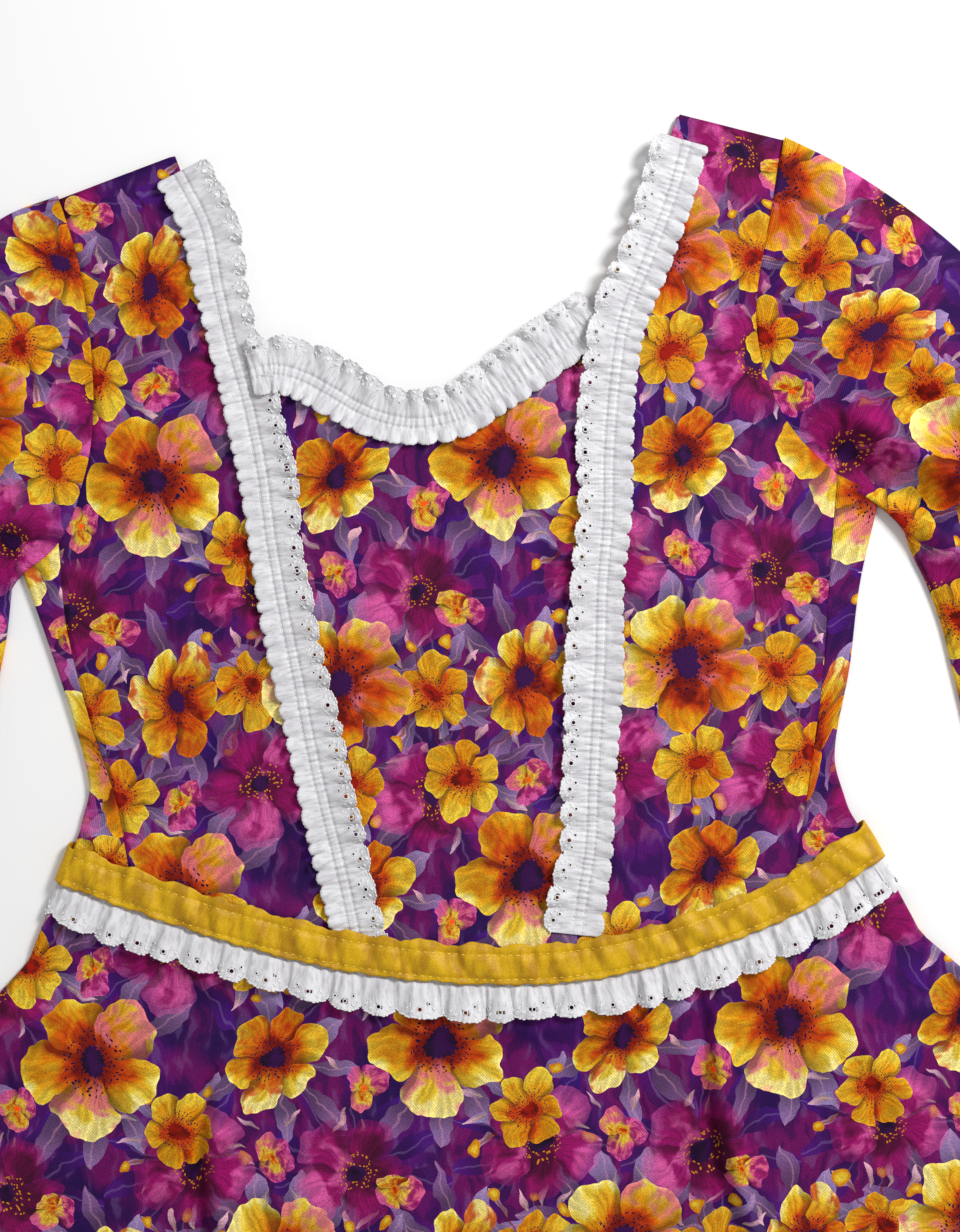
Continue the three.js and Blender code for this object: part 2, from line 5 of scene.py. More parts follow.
import bmesh
import bpy
import numpy as np
from bpy.props import FloatProperty, FloatVectorProperty, PointerProperty
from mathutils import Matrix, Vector


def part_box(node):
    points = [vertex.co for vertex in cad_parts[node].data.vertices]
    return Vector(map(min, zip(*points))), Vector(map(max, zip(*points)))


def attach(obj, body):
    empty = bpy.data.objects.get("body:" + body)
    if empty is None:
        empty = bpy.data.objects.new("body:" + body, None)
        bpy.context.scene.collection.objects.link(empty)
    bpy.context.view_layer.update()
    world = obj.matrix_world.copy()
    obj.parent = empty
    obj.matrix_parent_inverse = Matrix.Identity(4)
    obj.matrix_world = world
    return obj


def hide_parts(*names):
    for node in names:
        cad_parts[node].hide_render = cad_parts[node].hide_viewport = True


bl_info = {
    "name": "Huasa dress",
    "version": (1, 0, 0),
    "blender": (4, 5, 0),
    "location": "View3D > Sidebar > Dress",
    "description": "Printed cotton bodice, sleeves and skirt with eyelet lace and a waist tape",
    "category": "Add Mesh",
}

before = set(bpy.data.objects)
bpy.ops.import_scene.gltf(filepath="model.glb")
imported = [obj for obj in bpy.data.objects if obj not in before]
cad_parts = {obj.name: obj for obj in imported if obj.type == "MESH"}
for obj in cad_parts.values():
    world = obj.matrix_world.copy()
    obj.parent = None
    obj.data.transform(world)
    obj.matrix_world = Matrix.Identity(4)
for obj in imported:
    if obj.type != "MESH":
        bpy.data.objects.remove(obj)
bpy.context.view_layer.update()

# ------------------------------------------------------------------ pattern tables, in millimetres
# Places are measured from the middle of the waist seam, with Y up the dress.
MM = 0.001
# height over the floor of the middle of the back's cloth and of the front's, and the least of a sewn-on part
BACK_LEVEL = 0.5
FRONT_LEVEL = 2.9
LOWEST = 0.05
# over the waist seam the cloth lies higher: fully up to the first distance, not at all past the second
LAYER_PITCH = 1.3
LIFT_ABOVE_SEAM = (9, 16)
LIFT_BELOW_SEAM = (25, 33)
# how far the trims lie over the front
TAPE_OVER_FRONT = 3.9
FRILL_OVER_FRONT = 2.3
STRIP_OVER_FRONT = 1.1
NECK_LACE_OVER_FRONT = 1.0
# room left at the waist seam and at the other seams, the deepest trough, and how near points are welded
WAIST_GAP = 0.28
SEAM_GAP = 0.02
DEEPEST = -1.6
WELD = 0.02
# length of flat lace to each length of gathered lace
GATHERING = 1.3
SLEEVE_LENGTH = 290
HIP_DEPTH = 40
HIP_ANGLE = math.radians(25)
FLARE_ANGLE = math.radians(46)
SKIRT_LENGTH = 400

WAIST_SEAM = [(-149, 46), (-126, 36), (-90, 21.5), (-50, 8.5), (-10, 1), (30, -2), (60, 0.5),
              (92, 8), (124, 19), (154, 36)]

# left fold, left seam, right seam, right fold, from the waist up to the underarm
SIDES = [
    ((-149, 46), (-126, 36), (124, 19), (154, 36)),
    ((-144.5, 55), (-127, 46), (126.5, 30), (148.2, 44.6)),
    ((-142.3, 61.7), (-128, 53), (128.5, 38.5), (145.6, 51.5)),
    ((-138.8, 75), (-130, 69), (132.6, 58), (142.5, 69)),
    ((-144, 104), (-138.6, 102), (140.5, 98), (149.8, 102)),
    ((-151.5, 133), (-144.8, 136), (145.6, 137), (155.8, 135)),
    ((-160, 161.6), (-146, 169), (151, 176.5), (165.5, 168)),
]
LEFT_FOLD, LEFT_SEAM, RIGHT_SEAM, RIGHT_FOLD = range(4)

# left and right armhole seams, from the underarm up to the shoulder
ARMHOLES = [((-146, 169), (151, 176.5)), ((-134, 195), (137, 192)), ((-130, 215), (128.5, 208)),
            ((-129, 238), (124, 230)), ((-130, 256), (125, 248)), ((-132, 275), (130, 270)),
            ((-136, 292), (135.5, 293)), ((-138, 299), (138.5, 304.5))]

NECK_EDGE = [(-93, 313), (-86, 290), (-79, 262), (-67, 237), (-50, 226), (-30, 214), (-4, 206),
             (20, 212), (42, 228), (60, 243), (74, 264), (88, 290), (99, 317)]

# left upper fold, left under fold, right upper fold, right under fold, from the armhole to the hem
SLEEVES = [
    ((-138, 299), (-165.5, 158.7), (138.5, 304.5), (175, 162.4)),
    ((-160, 291.5), (-167.3, 147), (160, 292), (178.5, 147)),
    ((-184, 274), (-170, 132), (185, 273), (184, 133)),
    ((-207, 251), (-174, 117), (208, 251), (188.5, 118)),
    ((-228, 224), (-178, 101), (230, 225), (191.5, 102)),
    ((-246, 193), (-182, 84), (248, 194), (194.5, 85)),
    ((-261, 158), (-186, 66), (263, 159), (197.5, 67)),
    ((-273, 119), (-190, 48), (275, 120), (200.5, 49)),
    ((-283, 77), (-194, 31), (285, 78), (203.5, 32)),
    ((-291, 34), (-198, 16), (293, 35), (206.5, 17)),
]

# height, left outer edge, left inner edge, right inner edge, right outer edge
LACE_STRIPS = [
    (8, -51, -29.5, 31, 50.5), (20, -53, -31.5, 33, 52.5), (42, -56.5, -35.5, 36, 58.5),
    (65, -62, -38.5, 38.5, 61), (88, -66, -42, 40.5, 64), (113, -69, -45.5, 43.5, 67),
    (138, -72, -50, 46.5, 68.5), (165, -74, -54.5, 51.5, 71.5), (190, -76, -56, 53.5, 73.5),
    (218, -80, -60, 55.5, 79), (240, -84.5, -65, 60, 84), (262, -87, -70.5, 70, 94),
    (285, -90.5, -73.5, 81, 104), (306, -100, -82, 89, 111),
]

# eyelet edge, heading
NECK_LACE = [
    ((-72, 241), (-67, 218)), ((-62, 243), (-58.5, 218.5)), ((-51, 241), (-50, 215.5)),
    ((-38, 231), (-40, 211)), ((-27, 221), (-27, 204.5)), ((-16, 214.5), (-14, 201)),
    ((-4, 217.5), (-3, 196.8)), ((8, 220), (9, 198.5)), ((20, 225), (21, 207)),
    ((31, 232), (33, 213.5)), ((43, 240), (46, 221)), ((60, 249), (56.5, 228)),
    ((68, 254), (63, 234)),
]
# the low corner of the neck lace's solid, which sets where these tables lie in the frame
NECK_LACE_CORNER = (-65, 196.8)

# Creases: from, to, half width, height (negative for a trough)
BODICE_CREASES = [
    (-112, 100, -80, 72, 5, -2.4), (-104, 112, -74, 88, 8, 1.8), (-128, 72, -84, 52, 6, -1.6),
    (-118, 60, -78, 40, 5, 1.4), (128, 60, 88, 38, 6, -1.8), (120, 84, 84, 62, 8, 1.6),
    (136, 130, 104, 110, 7, -1.4), (-138, 150, -104, 136, 8, -1.6), (-96, 210, -126, 190, 6, -1.4),
    (100, 210, 122, 196, 6, -1.6), (-20, 60, 16, 40, 9, 1.2), (0, 110, 30, 132, 10, -1.2),
    (-30, 150, -4, 172, 9, 1.2), (16, 24, 22, 52, 5, -1.0), (-22, 22, -26, 44, 5, -1.0),
    (88, 250, 112, 268, 7, -1.2), (-110, 262, -122, 284, 6, -1.2),
]
LEFT_SLEEVE_CREASES = [
    (-140, 169, -220, 159, 4.5, -4.6), (-142, 178, -214, 172, 6, 5.6), (-146, 196, -196, 214, 8, 2.7),
    (-168, 148, -222, 128, 8, 3.0), (-170, 138, -214, 114, 5, -2.4), (-178, 104, -236, 92, 9, 2.7),
    (-148, 238, -182, 262, 9, 2.1), (-186, 76, -238, 60, 6, -2.0), (-198, 40, -262, 52, 9, 2.0),
]
RIGHT_SLEEVE_CREASES = [
    (146, 209, 216, 163, 5.2, 8.6), (140, 194, 206, 152, 5, -6.8), (172, 232, 226, 190, 9, 3.3),
    (168, 214, 214, 180, 4, -2.6), (176, 164, 214, 128, 6, 3.4), (182, 140, 240, 122, 5, -2.8),
    (190, 112, 244, 96, 8, 3.2), (156, 262, 190, 262, 8, 2.0), (198, 70, 250, 66, 6, -2.0),
    (204, 40, 266, 56, 8, 2.2),
]
# across at the waist and at the hem (-1 to 1), start below the waist, half width, height
SKIRT_FOLDS = [
    (-0.86, -0.8, 120, 0.07, 7.5), (-0.62, -0.5, 30, 0.05, 6.0), (-0.52, -0.42, 30, 0.075, 12.0),
    (-0.3, -0.26, 60, 0.05, 4.5), (-0.16, -0.14, 110, 0.08, 9.0), (0.12, 0.14, 150, 0.07, 7.5),
    (0.3, 0.27, 50, 0.05, 4.5), (0.52, 0.4, 26, 0.07, 11.2), (0.68, 0.58, 40, 0.05, 6.0),
    (0.8, 0.76, 90, 0.08, 9.0),
]
SKIRT_CREASES = [
    (-99, -24, -104, -126, 3.2, -5.4), (-93, -24, -97, -130, 4.2, 6.8), (-106, -30, -112, -120, 4.6, 3.6),
    (88, -8, 101, -130, 3.0, -5.6), (94, -8, 108, -132, 4.2, 6.8), (82, -12, 94, -120, 4.6, 3.4),
    (-20, -60, -34, -126, 6, 1.9), (30, -40, 44, -112, 6, 1.9), (-60, -30, -66, -92, 5, 1.7),
    (140, -20, 178, -84, 5, 2.3), (-146, 4, -180, -60, 5, 2.3), (60, -26, 66, -90, 4, -1.4),
    (2, -34, 4, -84, 4, -1.2),
]


def colour(code):
    """Linear colour from a six-digit code."""
    parts = [int(code[i:i + 2], 16) / 255 for i in (0, 2, 4)]
    return tuple(p / 12.92 if p <= 0.04045 else ((p + 0.055) / 1.055) ** 2.4 for p in parts)


def tint(name, code, description):
    return FloatVectorProperty(name=name, description=description, subtype="COLOR", size=3,
                               min=0, max=1, default=colour(code))


def length(name, millimetres, description):
    return FloatProperty(name=name, description=description, default=millimetres * MM, min=0,
                         unit="LENGTH", subtype="DISTANCE")


class DressSizes(bpy.types.PropertyGroup):
    cloth: length("Cloth", 0.7, "Thickness of the printed cotton")
    lace: length("Lace", 0.35, "Thickness of the eyelet lace")
    tape_width: length("Tape width", 15, "Width of the waist tape")
    frill_depth: length("Frill depth", 16, "How far the waist frill hangs below the tape")
    scallop: length("Scallop", 10, "Width of one scallop of the gathered lace")
    frill_scallop: length("Frill scallop", 12.5, "Width of one scallop of the waist frill")
    eyelet: length("Eyelet", 0.78, "Radius of the larger eyelets")
    stitch: length("Stitch", 3.0, "Length from one stitch to the next")
    thread: length("Thread", 0.24, "Radius of the sewing thread")


class DressColours(bpy.types.PropertyGroup):
    ground: tint("Ground", "732186", "Ground of the print")
    ground_dark: tint("Dark ground", "3A1464", "Indigo patches of the ground")
    ground_warm: tint("Warm ground", "8C1C78", "Magenta patches of the ground")
    petal: tint("Petal", "DCA010", "Yellow of the large flowers")
    petal_deep: tint("Deep petal", "CE5E08", "Orange near the hearts")
    petal_pale: tint("Pale petal", "E6CE56", "Pale yellow of the petals")
    cream: tint("Cream", "F0E3A0", "Palest edges of the petals")
    petal_blush: tint("Blush", "DE8094", "Pink wash on some petals")
    poppy: tint("Poppy", "A8217C", "Magenta flowers")
    poppy_pale: tint("Pale poppy", "D873AE", "Light edges of the magenta flowers")
    heart: tint("Heart", "431550", "Hearts of the flowers")
    stamen: tint("Stamens", "8E2410", "Ring round the hearts")
    leaf: tint("Leaf", "A596BA", "Lilac-grey leaves")
    sprig: tint("Sprig", "E6B8C8", "Pale leaflets")
    berry: tint("Berry", "D6960F", "Berries")
    lace: tint("Lace", "E4E4E7", "Eyelet lace")
    tape: tint("Tape", "D9AA02", "Waist tape")
    # the darker tape colour is painted shade for the tape's puckers, not wear
    tape_painted_shade: tint("Tape shade", "A87400", "Worn hollows of the waist tape")
    tape_thread: tint("Tape thread", "F0CE3A", "Sewing thread on the tape")
    floor: tint("Floor", "FBFBFB", "Floor under the dress")


class Dress(bpy.types.PropertyGroup):
    sizes: PointerProperty(type=DressSizes)
    colours: PointerProperty(type=DressColours)


# ------------------------------------------------------------------ plan geometry
def curve(rows):
    """A smooth line through rows of (place, value), straight beyond its ends."""
    places, values = np.array(rows, float).T
    last = len(places) - 1
    low, high = np.maximum(np.arange(last + 1) - 1, 0), np.minimum(np.arange(last + 1) + 1, last)
    slopes = (values[high] - values[low]) / (places[high] - places[low])

    def at(x):
        x = np.asarray(x, float)
        after = np.clip(np.searchsorted(places, x), 1, last)
        before = after - 1
        span, climb = places[after] - places[before], values[after] - values[before]
        t = np.clip((x - places[before]) / span, 0, 1)
        bend = (1 - t) * (span * slopes[before] - climb) + t * (climb - span * slopes[after])
        inside = values[before] + climb * t + t * (1 - t) * bend
        first_run, last_run = np.minimum(x - places[0], 0), np.maximum(x - places[-1], 0)
        return (inside + first_run * (values[1] - values[0]) / (places[1] - places[0])
                + last_run * (values[-1] - values[-2]) / (places[-1] - places[-2]))
    return at


def line(points, at=None):
    """A smooth plan line through points: a function of the share of its length, or of at."""
    points = np.array(points, float)
    if at is None:
        at = np.concatenate([[0], np.cumsum(np.linalg.norm(np.diff(points, axis=0), axis=1))])
        at = at / at[-1]
    along_x, along_y = curve(np.c_[at, points[:, 0]]), curve(np.c_[at, points[:, 1]])
    return lambda t: np.stack([along_x(t), along_y(t)], -1)


def smooth(t):
    t = np.clip(t, 0, 1)
    return t * t * (3 - 2 * t)


def unit(v):
    return v / np.maximum(np.linalg.norm(v, axis=-1, keepdims=True), 1e-9)


waist_height = curve(WAIST_SEAM)
WAIST_LEFT, WAIST_RIGHT = WAIST_SEAM[0][0], WAIST_SEAM[-1][0]


def waist_normal(x):
    slope = (waist_height(x + 1) - waist_height(x - 1)) / 2
    return unit(np.stack([-slope, np.ones_like(slope)], -1))


def waist_point(x, offset):
    x, offset = np.broadcast_arrays(np.asarray(x, float), np.asarray(offset, float))
    return np.stack([x, waist_height(x)], -1) + waist_normal(x) * offset[..., None]


def offset_from_waist(x, y):
    near = np.clip(x, WAIST_LEFT, WAIST_RIGHT)
    return (y - waist_height(near)) * waist_normal(near)[..., 1]


def skirt_point(across, down):
    across, down = np.broadcast_arrays(np.asarray(across, float), np.asarray(down, float))
    start = waist_point(WAIST_LEFT + (WAIST_RIGHT - WAIST_LEFT) * (across + 1) / 2, 0)
    hip, flare = np.minimum(down, HIP_DEPTH), np.maximum(down - HIP_DEPTH, 0)
    hip_turn, flare_turn = HIP_ANGLE * across, FLARE_ANGLE * across
    return start + np.stack([hip * np.sin(hip_turn) + flare * np.sin(flare_turn),
                             -hip * np.cos(hip_turn) - flare * np.cos(flare_turn)], -1)


def waist_place(share, up):
    """A plan point by its share of the waist and its distance up from the seam, down if negative."""
    x = WAIST_LEFT + (WAIST_RIGHT - WAIST_LEFT) * share
    above = waist_point(x, np.maximum(up, 0))
    below = skirt_point(share * 2 - 1, np.maximum(-up, 0))
    return np.where((np.asarray(up) > 0)[..., None], above, below)


def waist_lift(x, y):
    offset = offset_from_waist(x, y)
    full = np.where(offset > 0, LIFT_ABOVE_SEAM[0], LIFT_BELOW_SEAM[0])
    none = np.where(offset > 0, LIFT_ABOVE_SEAM[1], LIFT_BELOW_SEAM[1])
    return LAYER_PITCH * smooth(1 - (np.abs(offset) - full) / (none - full))


def patch(left, right, bottom, top, across, up):
    """Fills the plan between four edges. left and right run up, bottom and top run across."""
    a, u = across[None, :, None], up[:, None, None]
    sides = left[:, None] * (1 - a) + right[:, None] * a
    ends = bottom[None] * (1 - u) + top[None] * u
    corners = ((left[0] * (1 - a) + right[0] * a) * (1 - u) + (left[-1] * (1 - a) + right[-1] * a) * u)
    return sides + ends - corners


def crease_height(x, y, creases):
    """Soft ridges and troughs that fade out along and across."""
    total = np.zeros_like(x)
    for x0, y0, x1, y1, half_width, height in creases:
        way = np.array([x1 - x0, y1 - y0], float)
        reach = np.linalg.norm(way)
        way /= reach
        along = ((x - x0) * way[0] + (y - y0) * way[1]) / reach
        aside = -(x - x0) * way[1] + (y - y0) * way[0] + 0.05 * reach * np.sin(along * 3.1)
        total += height * smooth(along * 3) * smooth((1 - along) * 2.2) * np.exp(-(aside / half_width) ** 2)
    return total


def swell(x, y, size, seed):
    """Broad uneven waves, about -1 to 1."""
    random = np.random.default_rng(seed)
    total = np.zeros_like(x)
    for _ in range(7):
        turn, phase = random.uniform(0, math.tau, 2)
        pitch = size * random.uniform(0.7, 1.7)
        total += np.sin((x * math.cos(turn) + y * math.sin(turn)) * math.tau / pitch + phase)
    return total / 4


# ------------------------------------------------------------------ meshes
def origin():
    """From the tables' origin to the frame's, in millimetres."""
    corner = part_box("neck_lace")[0]
    return np.array([corner.x / MM - NECK_LACE_CORNER[0], corner.y / MM - NECK_LACE_CORNER[1], 0])


class Cloth:
    """The middle surface of a piece of cloth, from grids of places and of places on the flat cloth."""

    def __init__(self):
        self.places, self.flat, self.faces, self.count = [], [], [], 0

    def add(self, places, flat, keep=None):
        rows, columns = places.shape[:2]
        numbers = np.arange(rows * columns).reshape(rows, columns) + self.count
        corners = np.stack([numbers[:-1, :-1], numbers[:-1, 1:], numbers[1:, 1:], numbers[1:, :-1]], -1)
        if keep is not None:
            corners = corners[keep]
        self.faces.append(corners.reshape(-1, 4))
        self.places.append(places.reshape(-1, 3))
        self.flat.append(flat.reshape(-1, 2))
        self.count += rows * columns
        return self

    def build(self, name, material, thickness, merge=False):
        places = (np.concatenate(self.places) + origin()) * MM
        flat, faces = np.concatenate(self.flat) * MM, np.concatenate(self.faces)
        mesh = bpy.data.meshes.new(name)
        mesh.from_pydata(places.tolist(), [], faces.tolist())
        layer = mesh.uv_layers.new(name="cloth")
        layer.uv.foreach_set("vector", flat[faces.ravel()].astype(np.float32).ravel())
        mesh.polygons.foreach_set("use_smooth", [True] * len(faces))
        mesh.materials.append(material)
        work = bmesh.new()
        work.from_mesh(mesh)
        if merge:
            bmesh.ops.remove_doubles(work, verts=work.verts, dist=WELD * MM)
        bmesh.ops.delete(work, geom=[v for v in work.verts if not v.link_faces], context="VERTS")
        work.to_mesh(mesh)
        work.free()
        piece = bpy.data.objects.new(name, mesh)
        bpy.context.scene.collection.objects.link(piece)
        wall = piece.modifiers.new("wall", "SOLIDIFY")
        wall.thickness = thickness
        wall.offset = 0
        wall.use_even_offset = False
        return settle(piece)


def settle(piece):
    """Makes what the modifiers give the piece's own plain mesh."""
    evaluated = piece.evaluated_get(bpy.context.evaluated_depsgraph_get())
    mesh = bpy.data.meshes.new_from_object(evaluated)
    old = piece.data
    piece.modifiers.clear()
    piece.data = mesh
    bpy.data.meshes.remove(old)
    mesh.name = piece.name
    return piece


def raised(plan, height):
    return np.concatenate([plan, np.broadcast_to(height, plan.shape[:2])[..., None]], -1)


def lay(piece, node):
    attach(piece, "root")
    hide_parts(node)


# ------------------------------------------------------------------ repeated small pieces
def small_parts_tree(name, build):
    """A node tree that puts a small part at each point, turned to the points' facing and along."""
    tree = bpy.data.node_groups.new(name, "GeometryNodeTree")
    face = tree.interface
    face.new_socket("Geometry", in_out="INPUT", socket_type="NodeSocketGeometry")
    for label in ("Radius", "Length"):
        face.new_socket(label, in_out="INPUT", socket_type="NodeSocketFloat")
    face.new_socket("Material", in_out="INPUT", socket_type="NodeSocketMaterial")
    face.new_socket("Seed", in_out="INPUT", socket_type="NodeSocketInt")
    face.new_socket("Geometry", in_out="OUTPUT", socket_type="NodeSocketGeometry")
    nodes, links = tree.nodes, tree.links
    given, result = nodes.new("NodeGroupInput"), nodes.new("NodeGroupOutput")
    part = build(nodes, links, given)
    vectors = []
    for label in ("facing", "along"):
        named = nodes.new("GeometryNodeInputNamedAttribute")
        named.data_type = "FLOAT_VECTOR"
        named.inputs["Name"].default_value = label
        vectors.append(named.outputs["Attribute"])
    aim = nodes.new("FunctionNodeAxesToRotation")
    aim.primary_axis, aim.secondary_axis = "Z", "X"
    links.new(vectors[0], aim.inputs["Primary Axis"])
    links.new(vectors[1], aim.inputs["Secondary Axis"])
    spread = nodes.new("FunctionNodeRandomValue")
    spread.data_type = "FLOAT"
    spread.inputs[2].default_value, spread.inputs[3].default_value = 0.85, 1.12
    links.new(given.outputs["Seed"], spread.inputs["Seed"])
    place = nodes.new("GeometryNodeInstanceOnPoints")
    points = nodes.new("GeometryNodeMeshToPoints")
    links.new(given.outputs["Geometry"], points.inputs["Mesh"])
    links.new(points.outputs["Points"], place.inputs["Points"])
    links.new(part, place.inputs["Instance"])
    links.new(aim.outputs["Rotation"], place.inputs["Rotation"])
    links.new(spread.outputs[1], place.inputs["Scale"])
    whole = nodes.new("GeometryNodeRealizeInstances")
    paint = nodes.new("GeometryNodeSetMaterial")
    soften = nodes.new("GeometryNodeSetShadeSmooth")
    links.new(place.outputs["Instances"], whole.inputs["Geometry"])
    links.new(whole.outputs["Geometry"], soften.inputs["Geometry"])
    links.new(soften.outputs["Geometry"], paint.inputs["Geometry"])
    links.new(given.outputs["Material"], paint.inputs["Material"])
    links.new(paint.outputs["Geometry"], result.inputs["Geometry"])
    return tree


def stitch_part(nodes, links, given):
    """A plump stitch: a ball drawn out along X."""
    ball = nodes.new("GeometryNodeMeshUVSphere")
    ball.inputs["Segments"].default_value, ball.inputs["Rings"].default_value = 6, 5
    ball.inputs["Radius"].default_value = 1
    size = nodes.new("ShaderNodeCombineXYZ")
    half = nodes.new("ShaderNodeMath")
    half.operation = "MULTIPLY"
    half.inputs[1].default_value = 0.5
    links.new(given.outputs["Length"], half.inputs[0])
    links.new(half.outputs[0], size.inputs["X"])
    links.new(given.outputs["Radius"], size.inputs["Y"])
    links.new(given.outputs["Radius"], size.inputs["Z"])
    shape = nodes.new("GeometryNodeTransform")
    links.new(ball.outputs["Mesh"], shape.inputs["Geometry"])
    links.new(size.outputs["Vector"], shape.inputs["Scale"])
    return shape.outputs["Geometry"]


def ring_part(nodes, links, given):
    """A satin-stitched ring: radius Radius, cord thickness Length."""
    ring, cord = nodes.new("GeometryNodeCurvePrimitiveCircle"), nodes.new("GeometryNodeCurvePrimitiveCircle")
    ring.inputs["Resolution"].default_value, cord.inputs["Resolution"].default_value = 10, 4
    links.new(given.outputs["Radius"], ring.inputs["Radius"])
    links.new(given.outputs["Length"], cord.inputs["Radius"])
    tube = nodes.new("GeometryNodeCurveToMesh")
    links.new(ring.outputs["Curve"], tube.inputs["Curve"])
    links.new(cord.outputs["Curve"], tube.inputs["Profile Curve"])
    return tube.outputs["Mesh"]


def scatter(name, build, places, facing, along, radius, reach, material, seed):
    """Small parts at places (millimetres, from the tables' origin), as one plain mesh."""
    mesh = bpy.data.meshes.new(name)
    mesh.from_pydata(((places + origin()) * MM).tolist(), [], [])
    for label, vectors in (("facing", facing), ("along", along)):
        mesh.attributes.new(label, "FLOAT_VECTOR", "POINT").data.foreach_set(
            "vector", np.broadcast_to(vectors, places.shape).astype(np.float32).ravel())
    piece = bpy.data.objects.new(name, mesh)
    bpy.context.scene.collection.objects.link(piece)
    tree = small_parts_tree(f"{name}_parts", build)
    maker = piece.modifiers.new("parts", "NODES")
    maker.node_group = tree
    given = {s.name: s.identifier for s in tree.interface.items_tree if s.in_out == "INPUT"}
    for label, value in (("Radius", radius * MM), ("Length", reach * MM), ("Material", material), ("Seed", seed)):
        maker[given[label]] = value
    piece = settle(piece)
    bpy.data.node_groups.remove(tree)
    if not piece.data.polygons:
        raise RuntimeError(f"{name} came out empty")
    for label in ("facing", "along"):
        if label in piece.data.attributes:
            piece.data.attributes.remove(piece.data.attributes[label])
    return piece


STITCH_SHARE = 0.62


def stitch_rows(name, rows, pitch, material, seed, radius):
    """Stitches along rows of places, each row with its facing vectors."""
    places, facing, along = [], [], []
    for row, up in rows:
        runs = np.concatenate([[0], np.cumsum(np.linalg.norm(np.diff(row, axis=0), axis=1))])
        at = np.arange(pitch / 2, runs[-1], pitch)
        spot = np.stack([np.interp(at, runs, row[:, i]) for i in range(3)], -1)
        ahead = np.stack([np.interp(at + 0.4, runs, row[:, i]) for i in range(3)], -1)
        places.append(spot)
        along.append(unit(ahead - spot + 1e-6))
        facing.append(unit(np.stack([np.interp(at, runs, up[:, i]) for i in range(3)], -1)))
    return scatter(name, stitch_part, np.concatenate(places), np.concatenate(facing),
                   np.concatenate(along), radius, pitch * STITCH_SHARE, material, seed)


# ------------------------------------------------------------------ finishes
class Recipe:
    """Builds one material's nodes. Inputs are sockets or plain values."""

    def __init__(self, name):
        self.material = bpy.data.materials.new(name)
        self.material.use_nodes = True
        self.tree = self.material.node_tree
        self.tree.nodes.clear()

    def node(self, kind, *values, **settings):
        made = self.tree.nodes.new(kind)
        for label, value in settings.items():
            setattr(made, label, value)
        for socket, value in zip(made.inputs, values):
            self.give(socket, value)
        return made

    def give(self, socket, value):
        if isinstance(value, bpy.types.NodeSocket):
            self.tree.links.new(value, socket)
        elif value is not None:
            socket.default_value = value

    def math(self, operation, *values, clamp=False):
        return self.node("ShaderNodeMath", *values, operation=operation, use_clamp=clamp).outputs[0]

    def vector(self, operation, *values):
        made = self.node("ShaderNodeVectorMath", *values, operation=operation)
        return made.outputs["Value" if operation in ("LENGTH", "DOT_PRODUCT") else "Vector"]

    def scaled(self, vector, factor):
        made = self.node("ShaderNodeVectorMath", vector, operation="SCALE")
        self.give(made.inputs["Scale"], factor)
        return made.outputs["Vector"]

    def fade(self, value, low, high, to_low=0.0, to_high=1.0):
        """Runs softly from to_low at low to to_high at high."""
        made = self.node("ShaderNodeMapRange", value, low, high, to_low, to_high,
                         interpolation_type="SMOOTHSTEP")
        return made.outputs[0]

    def mixed(self, kind, at, output, share, first, second):
        """A Mix node of this kind, whose two inputs start at this number."""
        made = self.node("ShaderNodeMix", data_type=kind, clamp_factor=True)
        for socket, value in zip((made.inputs[0], made.inputs[at], made.inputs[at + 1]), (share, first, second)):
            self.give(socket, (*value, 1) if kind == "RGBA" and isinstance(value, tuple) else value)
        return made.outputs[output]

    def mix(self, share, first, second):
        return self.mixed("FLOAT", 2, 0, share, first, second)

    def mix_vector(self, share, first, second):
        return self.mixed("VECTOR", 4, 1, share, first, second)

    def blend(self, share, first, second):
        return self.mixed("RGBA", 6, 2, share, first, second)

    def ramp(self, value, stops):
        made = self.node("ShaderNodeValToRGB", value)
        elements = made.color_ramp.elements
        while len(elements) < len(stops):
            elements.new(0.5)
        for element, (place, shade) in zip(elements, stops):
            element.position, element.color = place, (*shade, 1)
        return made.outputs[0]

    def noise(self, vector, scale, detail=2.0, roughness=0.5, dimensions="2D"):
        made = self.node("ShaderNodeTexNoise", vector, noise_dimensions=dimensions)
        for label, value in (("Scale", scale), ("Detail", detail), ("Roughness", roughness)):
            made.inputs[label].default_value = value
        return made.outputs[0]

    def chance(self, value):
        made = self.node("ShaderNodeTexWhiteNoise", noise_dimensions="1D")
        self.give(made.inputs["W"], value)
        return made.outputs["Value"]

    def flat_place(self):
        """Place on the flat cloth, in millimetres."""
        return self.scaled(self.node("ShaderNodeUVMap", uv_map="cloth").outputs[0], 1 / MM)

    def bump(self, height, distance, strength):
        made = self.node("ShaderNodeBump")
        made.inputs["Strength"].default_value = strength
        made.inputs["Distance"].default_value = distance
        self.give(made.inputs["Height"], height)
        return made.outputs[0]

    def finish(self, shade, normal=None, **settings):
        surface = self.node("ShaderNodeBsdfPrincipled")
        self.give(surface.inputs["Base Color"], (*shade, 1) if isinstance(shade, tuple) else shade)
        for label, value in settings.items():
            self.give(surface.inputs[label.replace("_", " ")], value)
        if normal is not None:
            self.give(surface.inputs["Normal"], normal)
        out = self.node("ShaderNodeOutputMaterial")
        self.tree.links.new(surface.outputs[0], out.inputs["Surface"])
        return self.material


